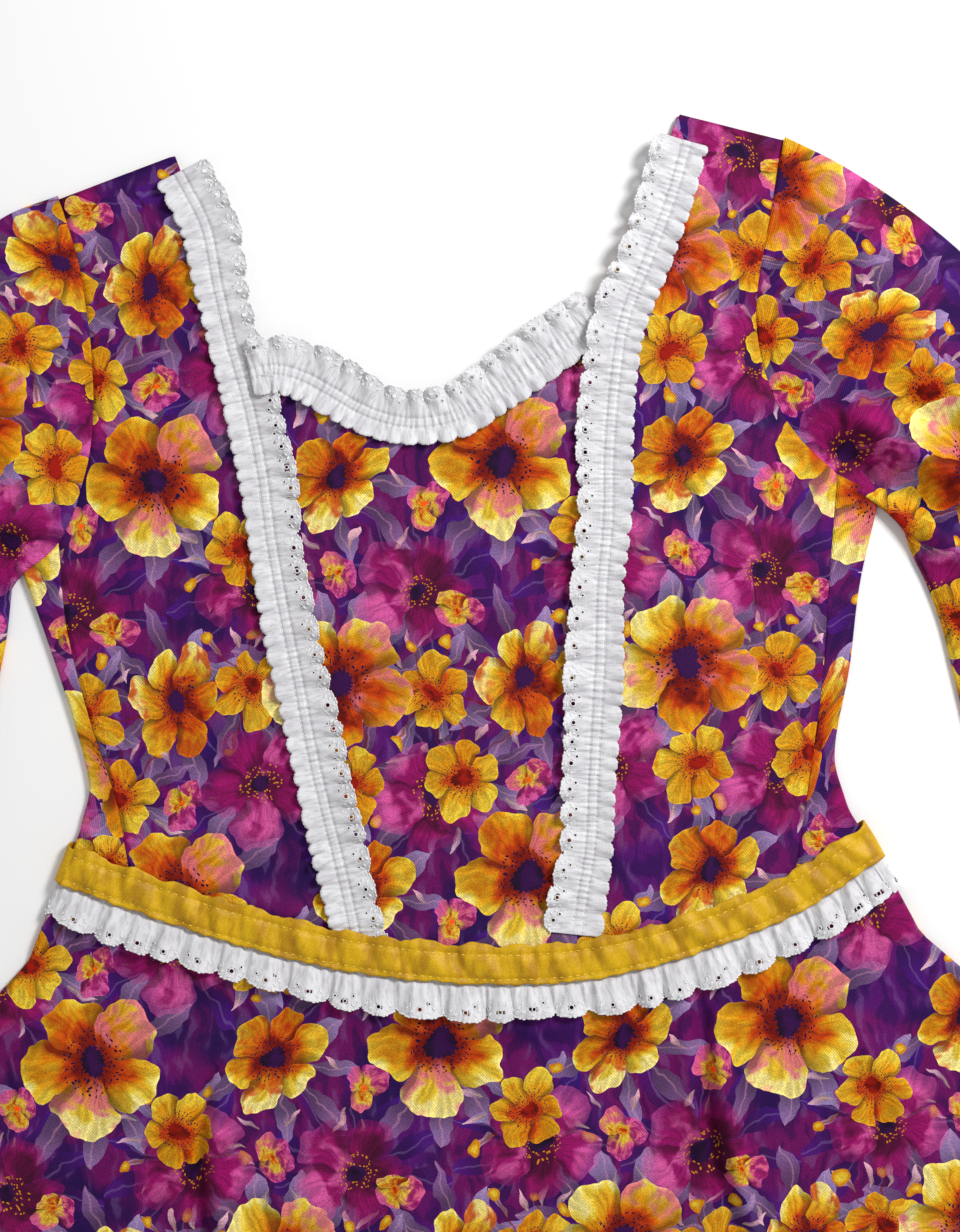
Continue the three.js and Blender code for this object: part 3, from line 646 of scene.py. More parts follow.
# The print repeats every REPEAT millimetres. Each kind of motif has its places in the repeat.
REPEAT = (132.0, 158.0)
MOTIF_TURN = 2.4
TWILL_PITCH, LAWN_PITCH, RIB_PITCH, THREAD_PITCH = 0.95, 0.55, 0.7, 0.8
PRINT = {
    "poppy": [(58, 72), (122, 64), (60, 148), (121, 142)],
    "bud": [(27, 67), (126, 16), (91, 150), (4, 134)],
    "small": [(2, 70), (90, 70), (56, 109), (124, 103), (56, 4)],
    "tilted": [(93, 29), (27, 106)],
    "large": [(24, 31), (89, 109)],
}


def nearest_motif(k, place, rows):
    """The offset from the nearest motif of a kind, turned with it, and that motif's own number."""
    offset = far = own = None
    half = (REPEAT[0] / 2, REPEAT[1] / 2, 1)
    for n, (x, y) in enumerate(rows):
        from_this = k.vector("WRAP", k.vector("SUBTRACT", place, (x, y, 0)), half, tuple(-h for h in half))
        reach = k.vector("LENGTH", from_this)
        if offset is None:
            offset, far, own = from_this, reach, 1.0
            continue
        closer = k.math("LESS_THAN", reach, far)
        offset = k.mix_vector(closer, offset, from_this)
        own = k.mix(closer, own, float(n + 1))
        far = k.math("MINIMUM", far, reach)
    turned = k.math("MULTIPLY", own, MOTIF_TURN)
    return k.node("ShaderNodeVectorRotate", offset, None, None, turned, rotation_type="Z_AXIS").outputs[0], own


def polar(k, offset, radius, squash=1.0):
    """Offset in shares of the radius, its length, and its bearing in radians."""
    local = k.vector("MULTIPLY", offset, (1 / radius, 1 / (radius * squash), 0))
    x, y = k.node("ShaderNodeSeparateXYZ", local).outputs[:2]
    return local, k.vector("LENGTH", local), k.math("ARCTAN2", y, x)


def sectors(k, bearing, count, own, salt):
    """Splits the round into sectors: how far off a sector's middle, -0.5 to 0.5, and its chance."""
    turns = k.math("MULTIPLY_ADD", bearing, count / math.tau, 20.0)
    aside = k.math("SUBTRACT", k.math("FRACT", turns), 0.5)
    number = k.math("FLOORED_MODULO", k.math("FLOOR", turns), float(count))
    return aside, k.chance(k.math("MULTIPLY_ADD", own, salt, number))


def leaf_burst(k, below, reach, bearing, own, count, span, shades, salt, share=0.75, width=0.18):
    """Pointed leaves that stand out from under a flower."""
    aside, luck = sectors(k, bearing, count, own, salt)
    middle, half = (span[0] + span[1]) / 2, (span[1] - span[0]) / 2
    stretch = k.math("MULTIPLY_ADD", luck, 0.45, 0.8)
    place = k.math("MULTIPLY_ADD", k.math("DIVIDE", reach, stretch), 1 / half, -middle / half)
    leaf = k.math("MULTIPLY", k.math("SUBTRACT", 1.0, k.math("MULTIPLY", place, place), clamp=True), width)
    away = k.math("MULTIPLY", k.math("ABSOLUTE", aside), k.math("MULTIPLY", reach, math.tau / count))
    shown = k.math("MULTIPLY", k.math("GREATER_THAN", leaf, away), k.math("LESS_THAN", luck, share))
    shade = k.blend(k.math("MULTIPLY", luck, 1.3), shades[0], shades[1])
    shade = k.scaled(shade, k.fade(place, -0.6, 0.9, 0.6, 1.35))
    shade = k.blend(k.fade(away, 0.0, 0.03, 0.4, 0.0), shade, shades[2])
    return k.blend(k.math("MULTIPLY", shown, 0.85), below, shade)


def berries(k, below, reach, bearing, own, count, shades):
    """Round berries on thin stems."""
    aside, luck = sectors(k, bearing, count, own, 3.17)
    out = k.math("MULTIPLY_ADD", luck, 0.75, 1.22)
    sway = k.math("MULTIPLY", k.math("MULTIPLY", aside, math.tau / count), reach)
    ahead = k.math("SUBTRACT", reach, out)
    away = k.math("SQRT", k.math("ADD", k.math("MULTIPLY", sway, sway), k.math("MULTIPLY", ahead, ahead)))
    shown = k.math("LESS_THAN", k.math("FRACT", k.math("MULTIPLY", luck, 7.0)), 0.7)
    stem = k.math("MULTIPLY", k.math("LESS_THAN", k.math("ABSOLUTE", sway), 0.028), k.math("LESS_THAN", reach, out))
    below = k.blend(k.math("MULTIPLY", k.math("MULTIPLY", stem, shown), 0.6), below, shades[0])
    ball = k.math("MULTIPLY", k.math("LESS_THAN", away, 0.16), shown)
    return k.blend(ball, below, k.blend(k.fade(away, 0.02, 0.15), shades[1], shades[2]))


def flowers(k, below, near, kinds):
    """Washy flowers of overlapping petals with dark hearts and rings of stamens, the last kind on top."""
    top, flags = None, []
    for kind, (radius, petals, squash, heart_size, stops, blush, heart) in kinds.items():
        offset, own = near[kind]
        local, reach, bearing = polar(k, offset, radius, squash)
        aside, luck = sectors(k, bearing, petals, own, 11.7)
        bow = k.math("POWER", k.math("COSINE", k.math("MULTIPLY", aside, math.pi)), 0.4)
        wavy = k.math("SINE", k.math("MULTIPLY_ADD", bearing, 13.0, k.math("MULTIPLY", own, 2.3)))
        full = k.math("ADD", k.math("MULTIPLY_ADD", bow, 0.4, 0.5), k.math("MULTIPLY", luck, 0.18))
        rim = k.math("MULTIPLY_ADD", wavy, 0.016, full)
        inside = k.math("GREATER_THAN", rim, reach)
        flags.append((inside, stops))
        past = k.math("SUBTRACT", rim, reach)
        cover = k.math("MULTIPLY", inside, k.fade(past, 0.0, 0.3, 0.4, 1.0)) if kind == "poppy" else inside
        here = {"local": local, "reach": reach, "bearing": bearing, "aside": aside, "luck": luck, "own": own,
                "size": heart_size, "any": cover, "past": past,
                "blush": blush, "heart": heart[0], "glow": heart[1], "specks": heart[2]}
        if top is None:
            top = here
            continue
        for label, value in here.items():
            if label == "any":
                top[label] = k.math("MAXIMUM", top[label], value)
            elif label == "local":
                top[label] = k.mix_vector(inside, top[label], value)
            elif label in ("blush", "heart", "glow", "specks"):
                top[label] = k.blend(inside, top[label], value)
            else:
                top[label] = k.mix(inside, top[label], value)
    local, reach, aside, luck, size = (top[label] for label in ("local", "reach", "aside", "luck", "size"))
    shifted = k.node("ShaderNodeCombineXYZ", k.math("MULTIPLY", top["own"], 7.3), 0.0, 0.0).outputs[0]
    wash = k.noise(k.vector("ADD", local, shifted), 2.3, 2.0, 0.6)
    slant = k.vector("DOT_PRODUCT", local, (0.16, 0.2, 0))
    uneven = k.math("ADD", k.math("MULTIPLY_ADD", wash, 0.95, -0.475), k.math("MULTIPLY_ADD", luck, 0.34, -0.17))
    tone = k.math("ADD", k.math("MULTIPLY_ADD", reach, 0.9, slant), uneven)
    shade = k.ramp(tone, flags[0][1])
    for inside, stops in flags[1:]:
        shade = k.blend(inside, shade, k.ramp(tone, stops))
    rosy = k.math("MULTIPLY", k.math("GREATER_THAN", luck, 0.62), k.fade(wash, 0.44, 0.62))
    shade = k.blend(k.math("MULTIPLY", rosy, 0.85), shade, top["blush"])
    # each petal lies under its neighbour along one side, with fine veins and a pale rim
    ray = k.vector("ADD", k.scaled(k.vector("NORMALIZE", local), 3.6),
                   k.node("ShaderNodeCombineXYZ", 0.0, 0.0, k.math("MULTIPLY", reach, 0.7)).outputs[0])
    veins = k.fade(k.noise(ray, 3.0, 1.0, dimensions="3D"), 0.3, 0.7, 0.82, 1.12)
    tuck = k.mix(k.fade(reach, 0.15, 0.5), 1.0, k.fade(aside, -0.5, -0.22, 0.5, 1.0))
    shade = k.scaled(shade, k.math("MULTIPLY", veins, tuck))
    shade = k.scaled(shade, k.fade(top["past"], 0.0, 0.07, 1.16, 1.0))
    share = k.math("DIVIDE", reach, size)
    shade = k.blend(k.fade(share, 0.9, 2.1, 0.75, 0.0), shade, top["glow"])
    dots = k.node("ShaderNodeTexVoronoi", local, voronoi_dimensions="2D")
    dots.inputs["Scale"].default_value = 14.0
    ring = k.math("MULTIPLY", k.math("GREATER_THAN", share, 1.0), k.math("LESS_THAN", share, 2.2))
    shade = k.blend(k.math("MULTIPLY", k.math("LESS_THAN", dots.outputs[0], 0.21), ring), shade, top["specks"])
    ragged = k.math("MULTIPLY_ADD", k.math("SINE", k.math("MULTIPLY", top["bearing"], 17.0)), 0.09, 1.0)
    middle = k.scaled(top["heart"], k.fade(wash, 0.35, 0.65, 0.7, 1.7))
    shade = k.blend(k.math("GREATER_THAN", ragged, share), shade, middle)
    return k.blend(top["any"], below, shade)


def printed_cotton(colours):
    """Flowers washed over a purple ground, on a fine twill with a soft sheen."""
    k = Recipe("cotton_finish")
    c = {name: tuple(getattr(colours, name)) for name in DressColours.__annotations__}
    flat = k.flat_place()
    drift = k.node("ShaderNodeTexNoise", flat, noise_dimensions="2D")
    drift.inputs["Scale"].default_value, drift.inputs["Detail"].default_value = 0.075, 2.0
    place = k.vector("ADD", flat, k.scaled(k.vector("SUBTRACT", drift.outputs[1], (0.5, 0.5, 0.5)), 8.0))
    place = k.vector("MULTIPLY", place, (1, 1, 0))

    broad = k.noise(flat, 0.024, 1.0, 0.55)
    cloudy = k.noise(k.vector("ADD", flat, (310, 40, 0)), 0.03, 1.0, 0.6)
    shade = k.blend(k.fade(broad, 0.42, 0.62, 0.0, 0.8), c["ground"], c["ground_dark"])
    shade = k.blend(k.fade(cloudy, 0.36, 0.56, 0.0, 0.85), shade, c["ground_warm"])
    strokes = k.noise(k.vector("MULTIPLY", place, (1.0, 0.35, 0)), 0.22, 1.0)
    shade = k.blend(k.fade(strokes, 0.54, 0.72, 0.0, 0.22), shade, c["leaf"])
    shade = k.blend(k.fade(strokes, 0.46, 0.34, 0.0, 0.5), shade, c["ground_dark"])

    near = {kind: nearest_motif(k, place, rows) for kind, rows in PRINT.items()}
    mauve = tuple(x * 0.45 + y * 0.35 for x, y in zip(c["leaf"], c["ground_warm"]))
    leaf_shades = (c["leaf"], mauve, c["sprig"])
    deep_shades = (tuple(x * 1.7 for x in c["ground_dark"]), c["ground"], c["leaf"])
    for kind, radius, count, span, shades, salt in (
            ("poppy", 22, 11, (0.7, 1.85), deep_shades, 5.3), ("tilted", 20, 10, (0.7, 1.75), leaf_shades, 7.3),
            ("large", 25, 12, (0.75, 1.6), leaf_shades, 9.1)):
        offset, own = near[kind]
        _, reach, bearing = polar(k, offset, radius)
        shade = leaf_burst(k, shade, reach, bearing, own, count, span, shades, salt=salt)
    offset, own = near["small"]
    _, reach, bearing = polar(k, offset, 14)
    shade = leaf_burst(k, shade, reach, bearing, own, 8, (0.7, 2.1), leaf_shades, salt=2.7, width=0.17)
    pale = (c["sprig"], c["leaf"], c["cream"])
    shade = leaf_burst(k, shade, reach, bearing, own, 15, (1.3, 2.1), pale, share=0.5, salt=4.9, width=0.085)
    shade = berries(k, shade, reach, bearing, own, 9, (c["stamen"], c["petal_pale"], c["berry"]))
    offset, own = near["bud"]
    _, reach, bearing = polar(k, offset, 9.5)
    shade = leaf_burst(k, shade, reach, bearing, own, 11, (1.35, 2.5), pale, share=0.5, salt=6.1, width=0.1)

    plum = tuple(x * 0.42 for x in c["poppy"])
    warm = [(0.12, c["stamen"]), (0.34, c["petal_deep"]), (0.58, c["petal"]), (0.86, c["petal_pale"]),
            (1.1, c["cream"])]
    magenta = [(0.1, plum), (0.4, c["poppy"]), (0.72, c["poppy"]), (1.0, c["poppy_pale"])]
    rosy = [(0.1, c["petal_deep"]), (0.35, c["petal_pale"]), (0.6, c["petal_blush"]), (1.0, c["poppy_pale"])]
    golden = [(0.1, c["petal_deep"]), (0.4, c["petal"]), (1.0, c["petal_pale"])]
    dark = (c["heart"], c["stamen"], c["heart"])
    # radius, petals, squash, size of the heart, colours outwards, wash on some petals, and heart, glow and specks
    shade = flowers(k, shade, near, {
        "poppy": (23, 5, 1.0, 0.15, magenta, c["poppy_pale"], (c["heart"], plum, c["petal"])),
        "bud": (9.5, 3, 0.8, 0.12, rosy, c["poppy"], (c["petal_deep"], c["petal"], c["petal_pale"])),
        "small": (15, 6, 1.0, 0.23, golden, c["petal"], (c["stamen"], c["petal_deep"], c["heart"])),
        "tilted": (22, 6, 0.76, 0.21, warm, c["petal_deep"], dark),
        "large": (27, 5, 1.0, 0.2, warm, c["petal_blush"], dark),
    })

    grain = k.noise(flat, 1.4, 1.0)
    shade = k.scaled(shade, k.fade(grain, 0.25, 0.75, 0.86, 1.1))
    shade = k.node("ShaderNodeGamma", k.scaled(shade, 1.06), 1.42).outputs[0]
    x, y = k.node("ShaderNodeSeparateXYZ", flat).outputs[:2]
    twill = k.math("SINE", k.math("MULTIPLY", k.math("MULTIPLY_ADD", y, 0.8, x), math.tau / TWILL_PITCH))
    weave = k.bump(k.math("MULTIPLY_ADD", grain, 2.2, twill), 0.00006, 0.8)
    return k.finish(shade, weave, Roughness=0.65, Specular_IOR_Level=0.12, Sheen_Weight=0.05, Sheen_Roughness=0.45)


def eyelet_lace(colours):
    """White lawn with a fine weave, creased across, and greyer where it is thin."""
    k = Recipe("lawn_finish")
    flat = k.flat_place()
    x, y = k.node("ShaderNodeSeparateXYZ", flat).outputs[:2]
    warp = k.math("SINE", k.math("MULTIPLY", x, math.tau / LAWN_PITCH))
    weft = k.math("SINE", k.math("MULTIPLY", y, math.tau / LAWN_PITCH))
    crumple = k.noise(k.vector("MULTIPLY", flat, (1.0, 0.32, 1)), 0.75, 3.0)
    cloudy = k.noise(flat, 0.09, 2.0)
    white = tuple(colours.lace)
    thin = tuple(x * share for x, share in zip(white, (0.5, 0.44, 0.48)))
    shade = k.blend(k.fade(cloudy, 0.35, 0.65, 0.0, 0.22), white, thin)
    shade = k.blend(k.fade(crumple, 0.48, 0.68, 0.0, 0.34), shade, thin)
    height = k.math("ADD", k.math("MULTIPLY", k.math("ADD", warp, weft), 0.35), k.math("MULTIPLY", crumple, 5.0))
    return k.finish(shade, k.bump(height, 0.0001, 0.6), Roughness=0.75, Specular_IOR_Level=0.3,
                    Sheen_Weight=0.1, Sheen_Roughness=0.5)


def satin_stitch(name, shade):
    """Twisted cotton thread."""
    k = Recipe(name)
    place = k.node("ShaderNodeTexCoord").outputs["Object"]
    strands = k.noise(place, 2600.0, 1.0, dimensions="3D")
    return k.finish(k.scaled(shade, k.fade(strands, 0.3, 0.7, 0.85, 1.08)), k.bump(strands, 0.00004, 0.5),
                    Roughness=0.6, Sheen_Weight=0.2)


def waist_tape(colours):
    """Mustard tape with fine ribs across it, with painted shade of its puckers in darker patches."""
    k = Recipe("tape_finish")
    flat = k.flat_place()
    x, y = k.node("ShaderNodeSeparateXYZ", flat).outputs[:2]
    ribs = k.math("SINE", k.math("MULTIPLY", x, math.tau / RIB_PITCH))
    threads = k.math("SINE", k.math("MULTIPLY", y, math.tau / THREAD_PITCH))
    # stretched noise patches lay painted shade for the puckers over the mustard
    pucker_shade_patches = k.noise(k.vector("MULTIPLY", flat, (1, 0.45, 1)), 0.12, 3.0, 0.6)
    shade = k.blend(k.fade(pucker_shade_patches, 0.38, 0.66, 0.0, 0.75), tuple(colours.tape), tuple(colours.tape_painted_shade))
    shade = k.scaled(shade, k.fade(k.noise(flat, 1.4, 2.0), 0.3, 0.7, 0.9, 1.08))
    height = k.math("ADD", k.math("MULTIPLY", ribs, 0.6), k.math("MULTIPLY", threads, 0.3))
    return k.finish(shade, k.bump(height, 0.00005, 0.6), Roughness=0.48, Specular_IOR_Level=0.3,
                    Sheen_Weight=0.03, Sheen_Roughness=0.4)


def pale_floor(colours):
    """Smooth pale board."""
    k = Recipe("pale_floor")
    place = k.node("ShaderNodeTexCoord").outputs["Object"]
    shade = k.scaled(tuple(colours.floor), k.fade(k.noise(place, 3.0), 0.3, 0.7, 0.985, 1.0))
    return k.finish(shade, Roughness=0.8, Specular_IOR_Level=0.1)


def finish_named(name, maker):
    """A finish that several pieces share, made once."""
    return bpy.data.materials.get(name) or maker()


def cotton(context):
    return finish_named("cotton_finish", lambda: printed_cotton(context.scene.huasa_dress.colours))


def lawn(context):
    return finish_named("lawn_finish", lambda: eyelet_lace(context.scene.huasa_dress.colours))


def white_thread(context):
    shade = tuple(context.scene.huasa_dress.colours.lace)
    return finish_named("white_thread", lambda: satin_stitch("white_thread", shade))


# ------------------------------------------------------------------ cloth layers
def paired(left_rows, right_rows, count):
    """Two side lines, read at the same shares of their mean height."""
    left, right = np.array(left_rows, float), np.array(right_rows, float)
    height = (left[:, 1] + right[:, 1]) / 2
    at = (height - height[0]) / (height[-1] - height[0])
    t = np.linspace(0, 1, count)
    return line(left, at)(t), line(right, at)(t)


def bodice_sides(columns, count):
    rows = [[side[c] for side in SIDES] for c in columns]
    for row in rows:
        row[0] = tuple(waist_point(row[0][0], WAIST_GAP))
    return paired(*rows, count)


def bodice_top(count, neck_drop):
    """Across the top: shoulder, neck, shoulder."""
    (left_tip, right_tip), (start, end) = ARMHOLES[-1], (NECK_EDGE[0], NECK_EDGE[-1])
    x = np.linspace(left_tip[0], right_tip[0], 1200)
    dip = neck_drop * smooth(np.minimum(x - start[0], end[0] - x) / 12)
    y = curve(NECK_EDGE)(x) - dip
    y = np.where(x < start[0], np.interp(x, [left_tip[0], start[0]], [left_tip[1], start[1]]), y)
    y = np.where(x > end[0], np.interp(x, [end[0], right_tip[0]], [end[1], right_tip[1]]), y)
    runs = np.concatenate([[0], np.cumsum(np.hypot(np.diff(x), np.diff(y)))])
    evenness = runs / runs[-1] + (x - x[0]) / (x[-1] - x[0])
    spots = np.interp(np.linspace(0, 2, count), evenness, x)
    return np.stack([spots, np.interp(spots, x, y)], -1)


def bodice_plan(columns, side_rows, arm_rows, column_count, neck_drop):
    low_left, low_right = bodice_sides(columns, side_rows)
    high_left, high_right = paired([a for a, _ in ARMHOLES], [b for _, b in ARMHOLES], arm_rows)
    skip = 1 if columns[0] == LEFT_SEAM else 0
    left, right = np.concatenate([low_left, high_left[skip:]]), np.concatenate([low_right, high_right[skip:]])
    top = bodice_top(column_count, neck_drop)
    across = (top[:, 0] - top[0, 0]) / (top[-1, 0] - top[0, 0])
    bottom = waist_point(left[0, 0] + (right[0, 0] - left[0, 0]) * across, WAIST_GAP)
    height = (left[:, 1] + right[:, 1]) / 2
    up = (height - height[0]) / (height[-1] - height[0])
    return patch(left, right, bottom, top, across, up), across, up


def front_level(x, y):
    return FRONT_LEVEL + waist_lift(x, y)


def back_level(x, y):
    return BACK_LEVEL + waist_lift(x, y)


def rolled(edge, out, upper, lower, turns):
    """Places round a folded edge at these turns, and how far each lies past the edge along the cloth."""
    radius = ((upper - lower) / 2)[:, None]
    turn = np.radians(np.asarray(turns, float))[None]
    reach = radius * np.cos(turn)
    plan = edge[:, None] + out[:, None] * reach[..., None]
    height = ((upper + lower) / 2)[:, None] + radius * np.sin(turn)
    return raised(plan, height), radius * (math.pi / 2 - turn)


def bodice_front(sizes, material):
    plan, across, up = bodice_plan((LEFT_SEAM, RIGHT_SEAM), 64, 64, 150, 0)
    x, y = plan[..., 0], plan[..., 1]
    shoulder = smooth((NECK_EDGE[0][0] + 8 - x) / 10) + smooth((x - NECK_EDGE[-1][0] + 8) / 10)
    base = front_level(x, y)
    base += (BACK_LEVEL + LAYER_PITCH - base) * smooth((up[:, None] - 0.93) / 0.07) * shoulder
    above = offset_from_waist(x, y)
    inside = smooth(np.minimum(across, 1 - across)[None] * 26) * smooth((above - 3) / 14)
    relief = crease_height(x, y, BODICE_CREASES) + 0.45 * swell(x, y, 46, 3) + 0.16 * swell(x, y, 15, 4)
    puckers = 0.35 * np.sin(x * math.tau / 9.5 + 2 * np.sin(x / 17)) * np.exp(-(above - 9) / 9)
    height = base + np.maximum(relief, DEEPEST) * inside * (1 - 0.7 * shoulder)
    height = height + puckers * smooth(above / 8) * inside
    return Cloth().add(raised(plan, height), plan).build("front_bodice", material, sizes.cloth)


def bodice_back(sizes, material):
    plan, _, _ = bodice_plan((LEFT_FOLD, RIGHT_FOLD), 64, 40, 90, 4)
    x, y = plan[..., 0], plan[..., 1]
    cloth = Cloth()
    flat = np.stack([-x + 60, y + 20], -1)
    cloth.add(raised(plan, back_level(x, y))[:, ::-1], flat[:, ::-1])
    seams, folds = bodice_sides((LEFT_SEAM, RIGHT_SEAM), 64), bodice_sides((LEFT_FOLD, RIGHT_FOLD), 64)
    for seam, fold, side in zip(seams, folds, (-1, 1)):
        out = unit(fold - seam)
        start = seam + out * SEAM_GAP
        shares = np.linspace(0, 1, 9)[None, :, None]
        flap = start[:, None] * (1 - shares) + fold[:, None] * shares
        span = np.linalg.norm(fold - start, axis=1)[:, None]
        top = raised(flap, front_level(flap[..., 0], flap[..., 1]))
        upper, lower = front_level(*fold.T), back_level(*fold.T)
        bend, past = rolled(fold, out, upper, lower, (68, 45, 22, 0, -22, -45, -68, -90))
        places = np.concatenate([top, bend], 1)
        around = np.concatenate([-(1 - shares[..., 0]) * span, past], 1)
        # the flap's flat cloth carries on from the back's edge
        far = past[:, -1:] - around
        flat = np.stack([-fold[:, :1] * np.ones_like(far) + 60 - side * far,
                         np.broadcast_to(fold[:, 1:] + 20, far.shape)], -1)
        if side < 0:
            places, flat = places[:, ::-1], flat[:, ::-1]
        cloth.add(places, flat)
    return cloth.build("back_bodice", material, sizes.cloth, merge=True)


def sleeve(name, side, creases, sizes, material, seed):
    outward = -1 if side == 0 else 1
    rows, columns = 112, 76
    seam = [pair[side] for pair in ARMHOLES][::-1] + [SLEEVES[0][2 * side + 1]]
    seam_line = line(seam)(np.linspace(0, 1, columns))
    run = unit(np.gradient(seam_line, axis=0))
    seam_line = seam_line + np.stack([-run[:, 1], run[:, 0]], -1) * outward * SEAM_GAP
    t = np.linspace(0, 1, rows)
    share = np.arange(len(SLEEVES)) / (len(SLEEVES) - 1)
    top = line([row[2 * side] for row in SLEEVES], share)(t)
    under = line([row[2 * side + 1] for row in SLEEVES], share)(t)
    top[0], under[0] = seam_line[0], seam_line[-1]
    across = (1 - np.cos(np.linspace(0, math.pi, columns))) / 2
    across = 0.5 * across + 0.5 * np.linspace(0, 1, columns)
    seam_at = np.stack([np.interp(across, np.linspace(0, 1, columns), seam_line[:, i]) for i in (0, 1)], -1)
    hem = top[-1] + (under[-1] - top[-1]) * across[:, None]
    plan = patch(top, under, seam_at, hem, across, smooth(t * (len(SLEEVES) - 1) / 1.6))
    x, y = plan[..., 0], plan[..., 1]
    away = np.minimum(t * SLEEVE_LENGTH / 34, 1)[:, None]
    crown = 5.2 * np.sqrt(np.clip(np.sin(math.pi * across), 0, 1))[None] * smooth(away)
    inside = smooth(np.minimum(across, 1 - across)[None] * 9) * smooth(t[:, None] * SLEEVE_LENGTH / 9)
    relief = crease_height(x, y, creases) + 0.8 * swell(x, y, 52, seed) + 0.2 * swell(x, y, 17, seed + 1)
    upper = FRONT_LEVEL + crown + np.maximum(relief * inside, -crown - 1.2)
    lower = np.full(rows, BACK_LEVEL)
    outs = []
    for edge, sign in ((top, 1), (under, -1)):
        ahead = unit(np.gradient(edge, axis=0))
        outs.append(np.stack([-ahead[:, 1], ahead[:, 0]], -1) * outward * sign)
    turns = (66, 42, 20, 0, -22, -45, -68, -90)
    grain = math.radians(-58 if side == 0 else 58)
    spin = np.array([[math.cos(grain), math.sin(grain)], [-math.sin(grain), math.cos(grain)]])
    grids = [raised(plan, upper)]
    flats = [plan @ spin]
    for edge, out, height, first in ((top, outs[0], upper[:, 0], True), (under, outs[1], upper[:, -1], False)):
        bend, past = rolled(edge, out, height, lower, turns)
        flat = (edge[:, None] + out[:, None] * past[..., None]) @ spin
        grids = [bend[:, ::-1], *grids] if first else [*grids, bend]
        flats = [flat[:, ::-1], *flats] if first else [*flats, flat]
    cloth = Cloth()
    step = -1 if side == 0 else 1
    cloth.add(np.concatenate(grids, 1)[::step], np.concatenate(flats, 1)[::step])
    cloth.add(raised(plan, BACK_LEVEL)[::step, ::-1], (plan @ spin)[::step, ::-1])
    return cloth.build(name, material, sizes.cloth, merge=True)


def skirt_relief(across, down, x, y):
    total = crease_height(x, y, SKIRT_CREASES)
    for at_waist, at_hem, starts, half_width, height in SKIRT_FOLDS:
        middle = at_waist + (at_hem - at_waist) * down / SKIRT_LENGTH
        grown = smooth((down - starts) / (SKIRT_LENGTH - starts))
        total = total + height * grown * (1 - smooth(np.abs(across - middle) / (half_width * 1.25)))
    rough = 0.7 * swell(x, y, 60, 8) + 0.22 * swell(x, y, 18, 9)
    gathers = 0.5 * np.sin(across * 62 + 2.2 * np.sin(across * 9)) * np.exp(-np.maximum(down - 24, 0) / 20)
    return total + (rough + gathers) * smooth((down - 12) / 22)


def skirt_layer(name, is_front, sizes, material):
    down = np.concatenate([np.linspace(0, 34, 16), np.linspace(37, SKIRT_LENGTH, 110 if is_front else 60)])
    across = np.linspace(-1, 1, 221 if is_front else 121)
    depth = WAIST_GAP + down * (SKIRT_LENGTH - (5 if is_front else 0)) / SKIRT_LENGTH
    a, d = np.meshgrid(across, depth)
    plan = skirt_point(a, d)
    x, y = plan[..., 0], plan[..., 1]
    if is_front:
        edge = smooth((1 - np.abs(a)) * 16)
        height = front_level(x, y) + np.maximum(skirt_relief(a, d, x, y), DEEPEST) * edge
    else:
        height = back_level(x, y)
    grids, flats = [raised(plan, height)], [plan]
    for column, sign in ((0, -1), (-1, 1)):
        edge = plan[:, column]
        turn = np.where(depth < HIP_DEPTH, HIP_ANGLE, FLARE_ANGLE)
        out = np.stack([sign * np.cos(turn), np.sin(turn)], -1)
        upper, lower = front_level(*edge.T), back_level(*edge.T)
        stop = math.degrees(math.asin(0.38 / 1.2))
        turns = np.linspace(90, stop, 5)[1:] * (1 if is_front else -1)
        bend, _ = rolled(edge, out, upper, lower, turns)
        past = np.radians(90 - np.abs(turns)) * 1.2
        flat = edge[:, None] + out[:, None] * np.broadcast_to(past, (len(edge), len(turns)))[..., None]
        grids = [bend[:, ::-1], *grids] if sign < 0 else [*grids, bend]
        flats = [flat[:, ::-1], *flats] if sign < 0 else [*flats, flat]
    flat = np.concatenate(flats, 1)
    flat = flat + (37, 61) if is_front else np.stack([-flat[..., 0] + 11, flat[..., 1] + 30], -1)
    step = -1 if is_front else 1
    return Cloth().add(np.concatenate(grids, 1)[::step], flat[::step]).build(name, material, sizes.cloth)


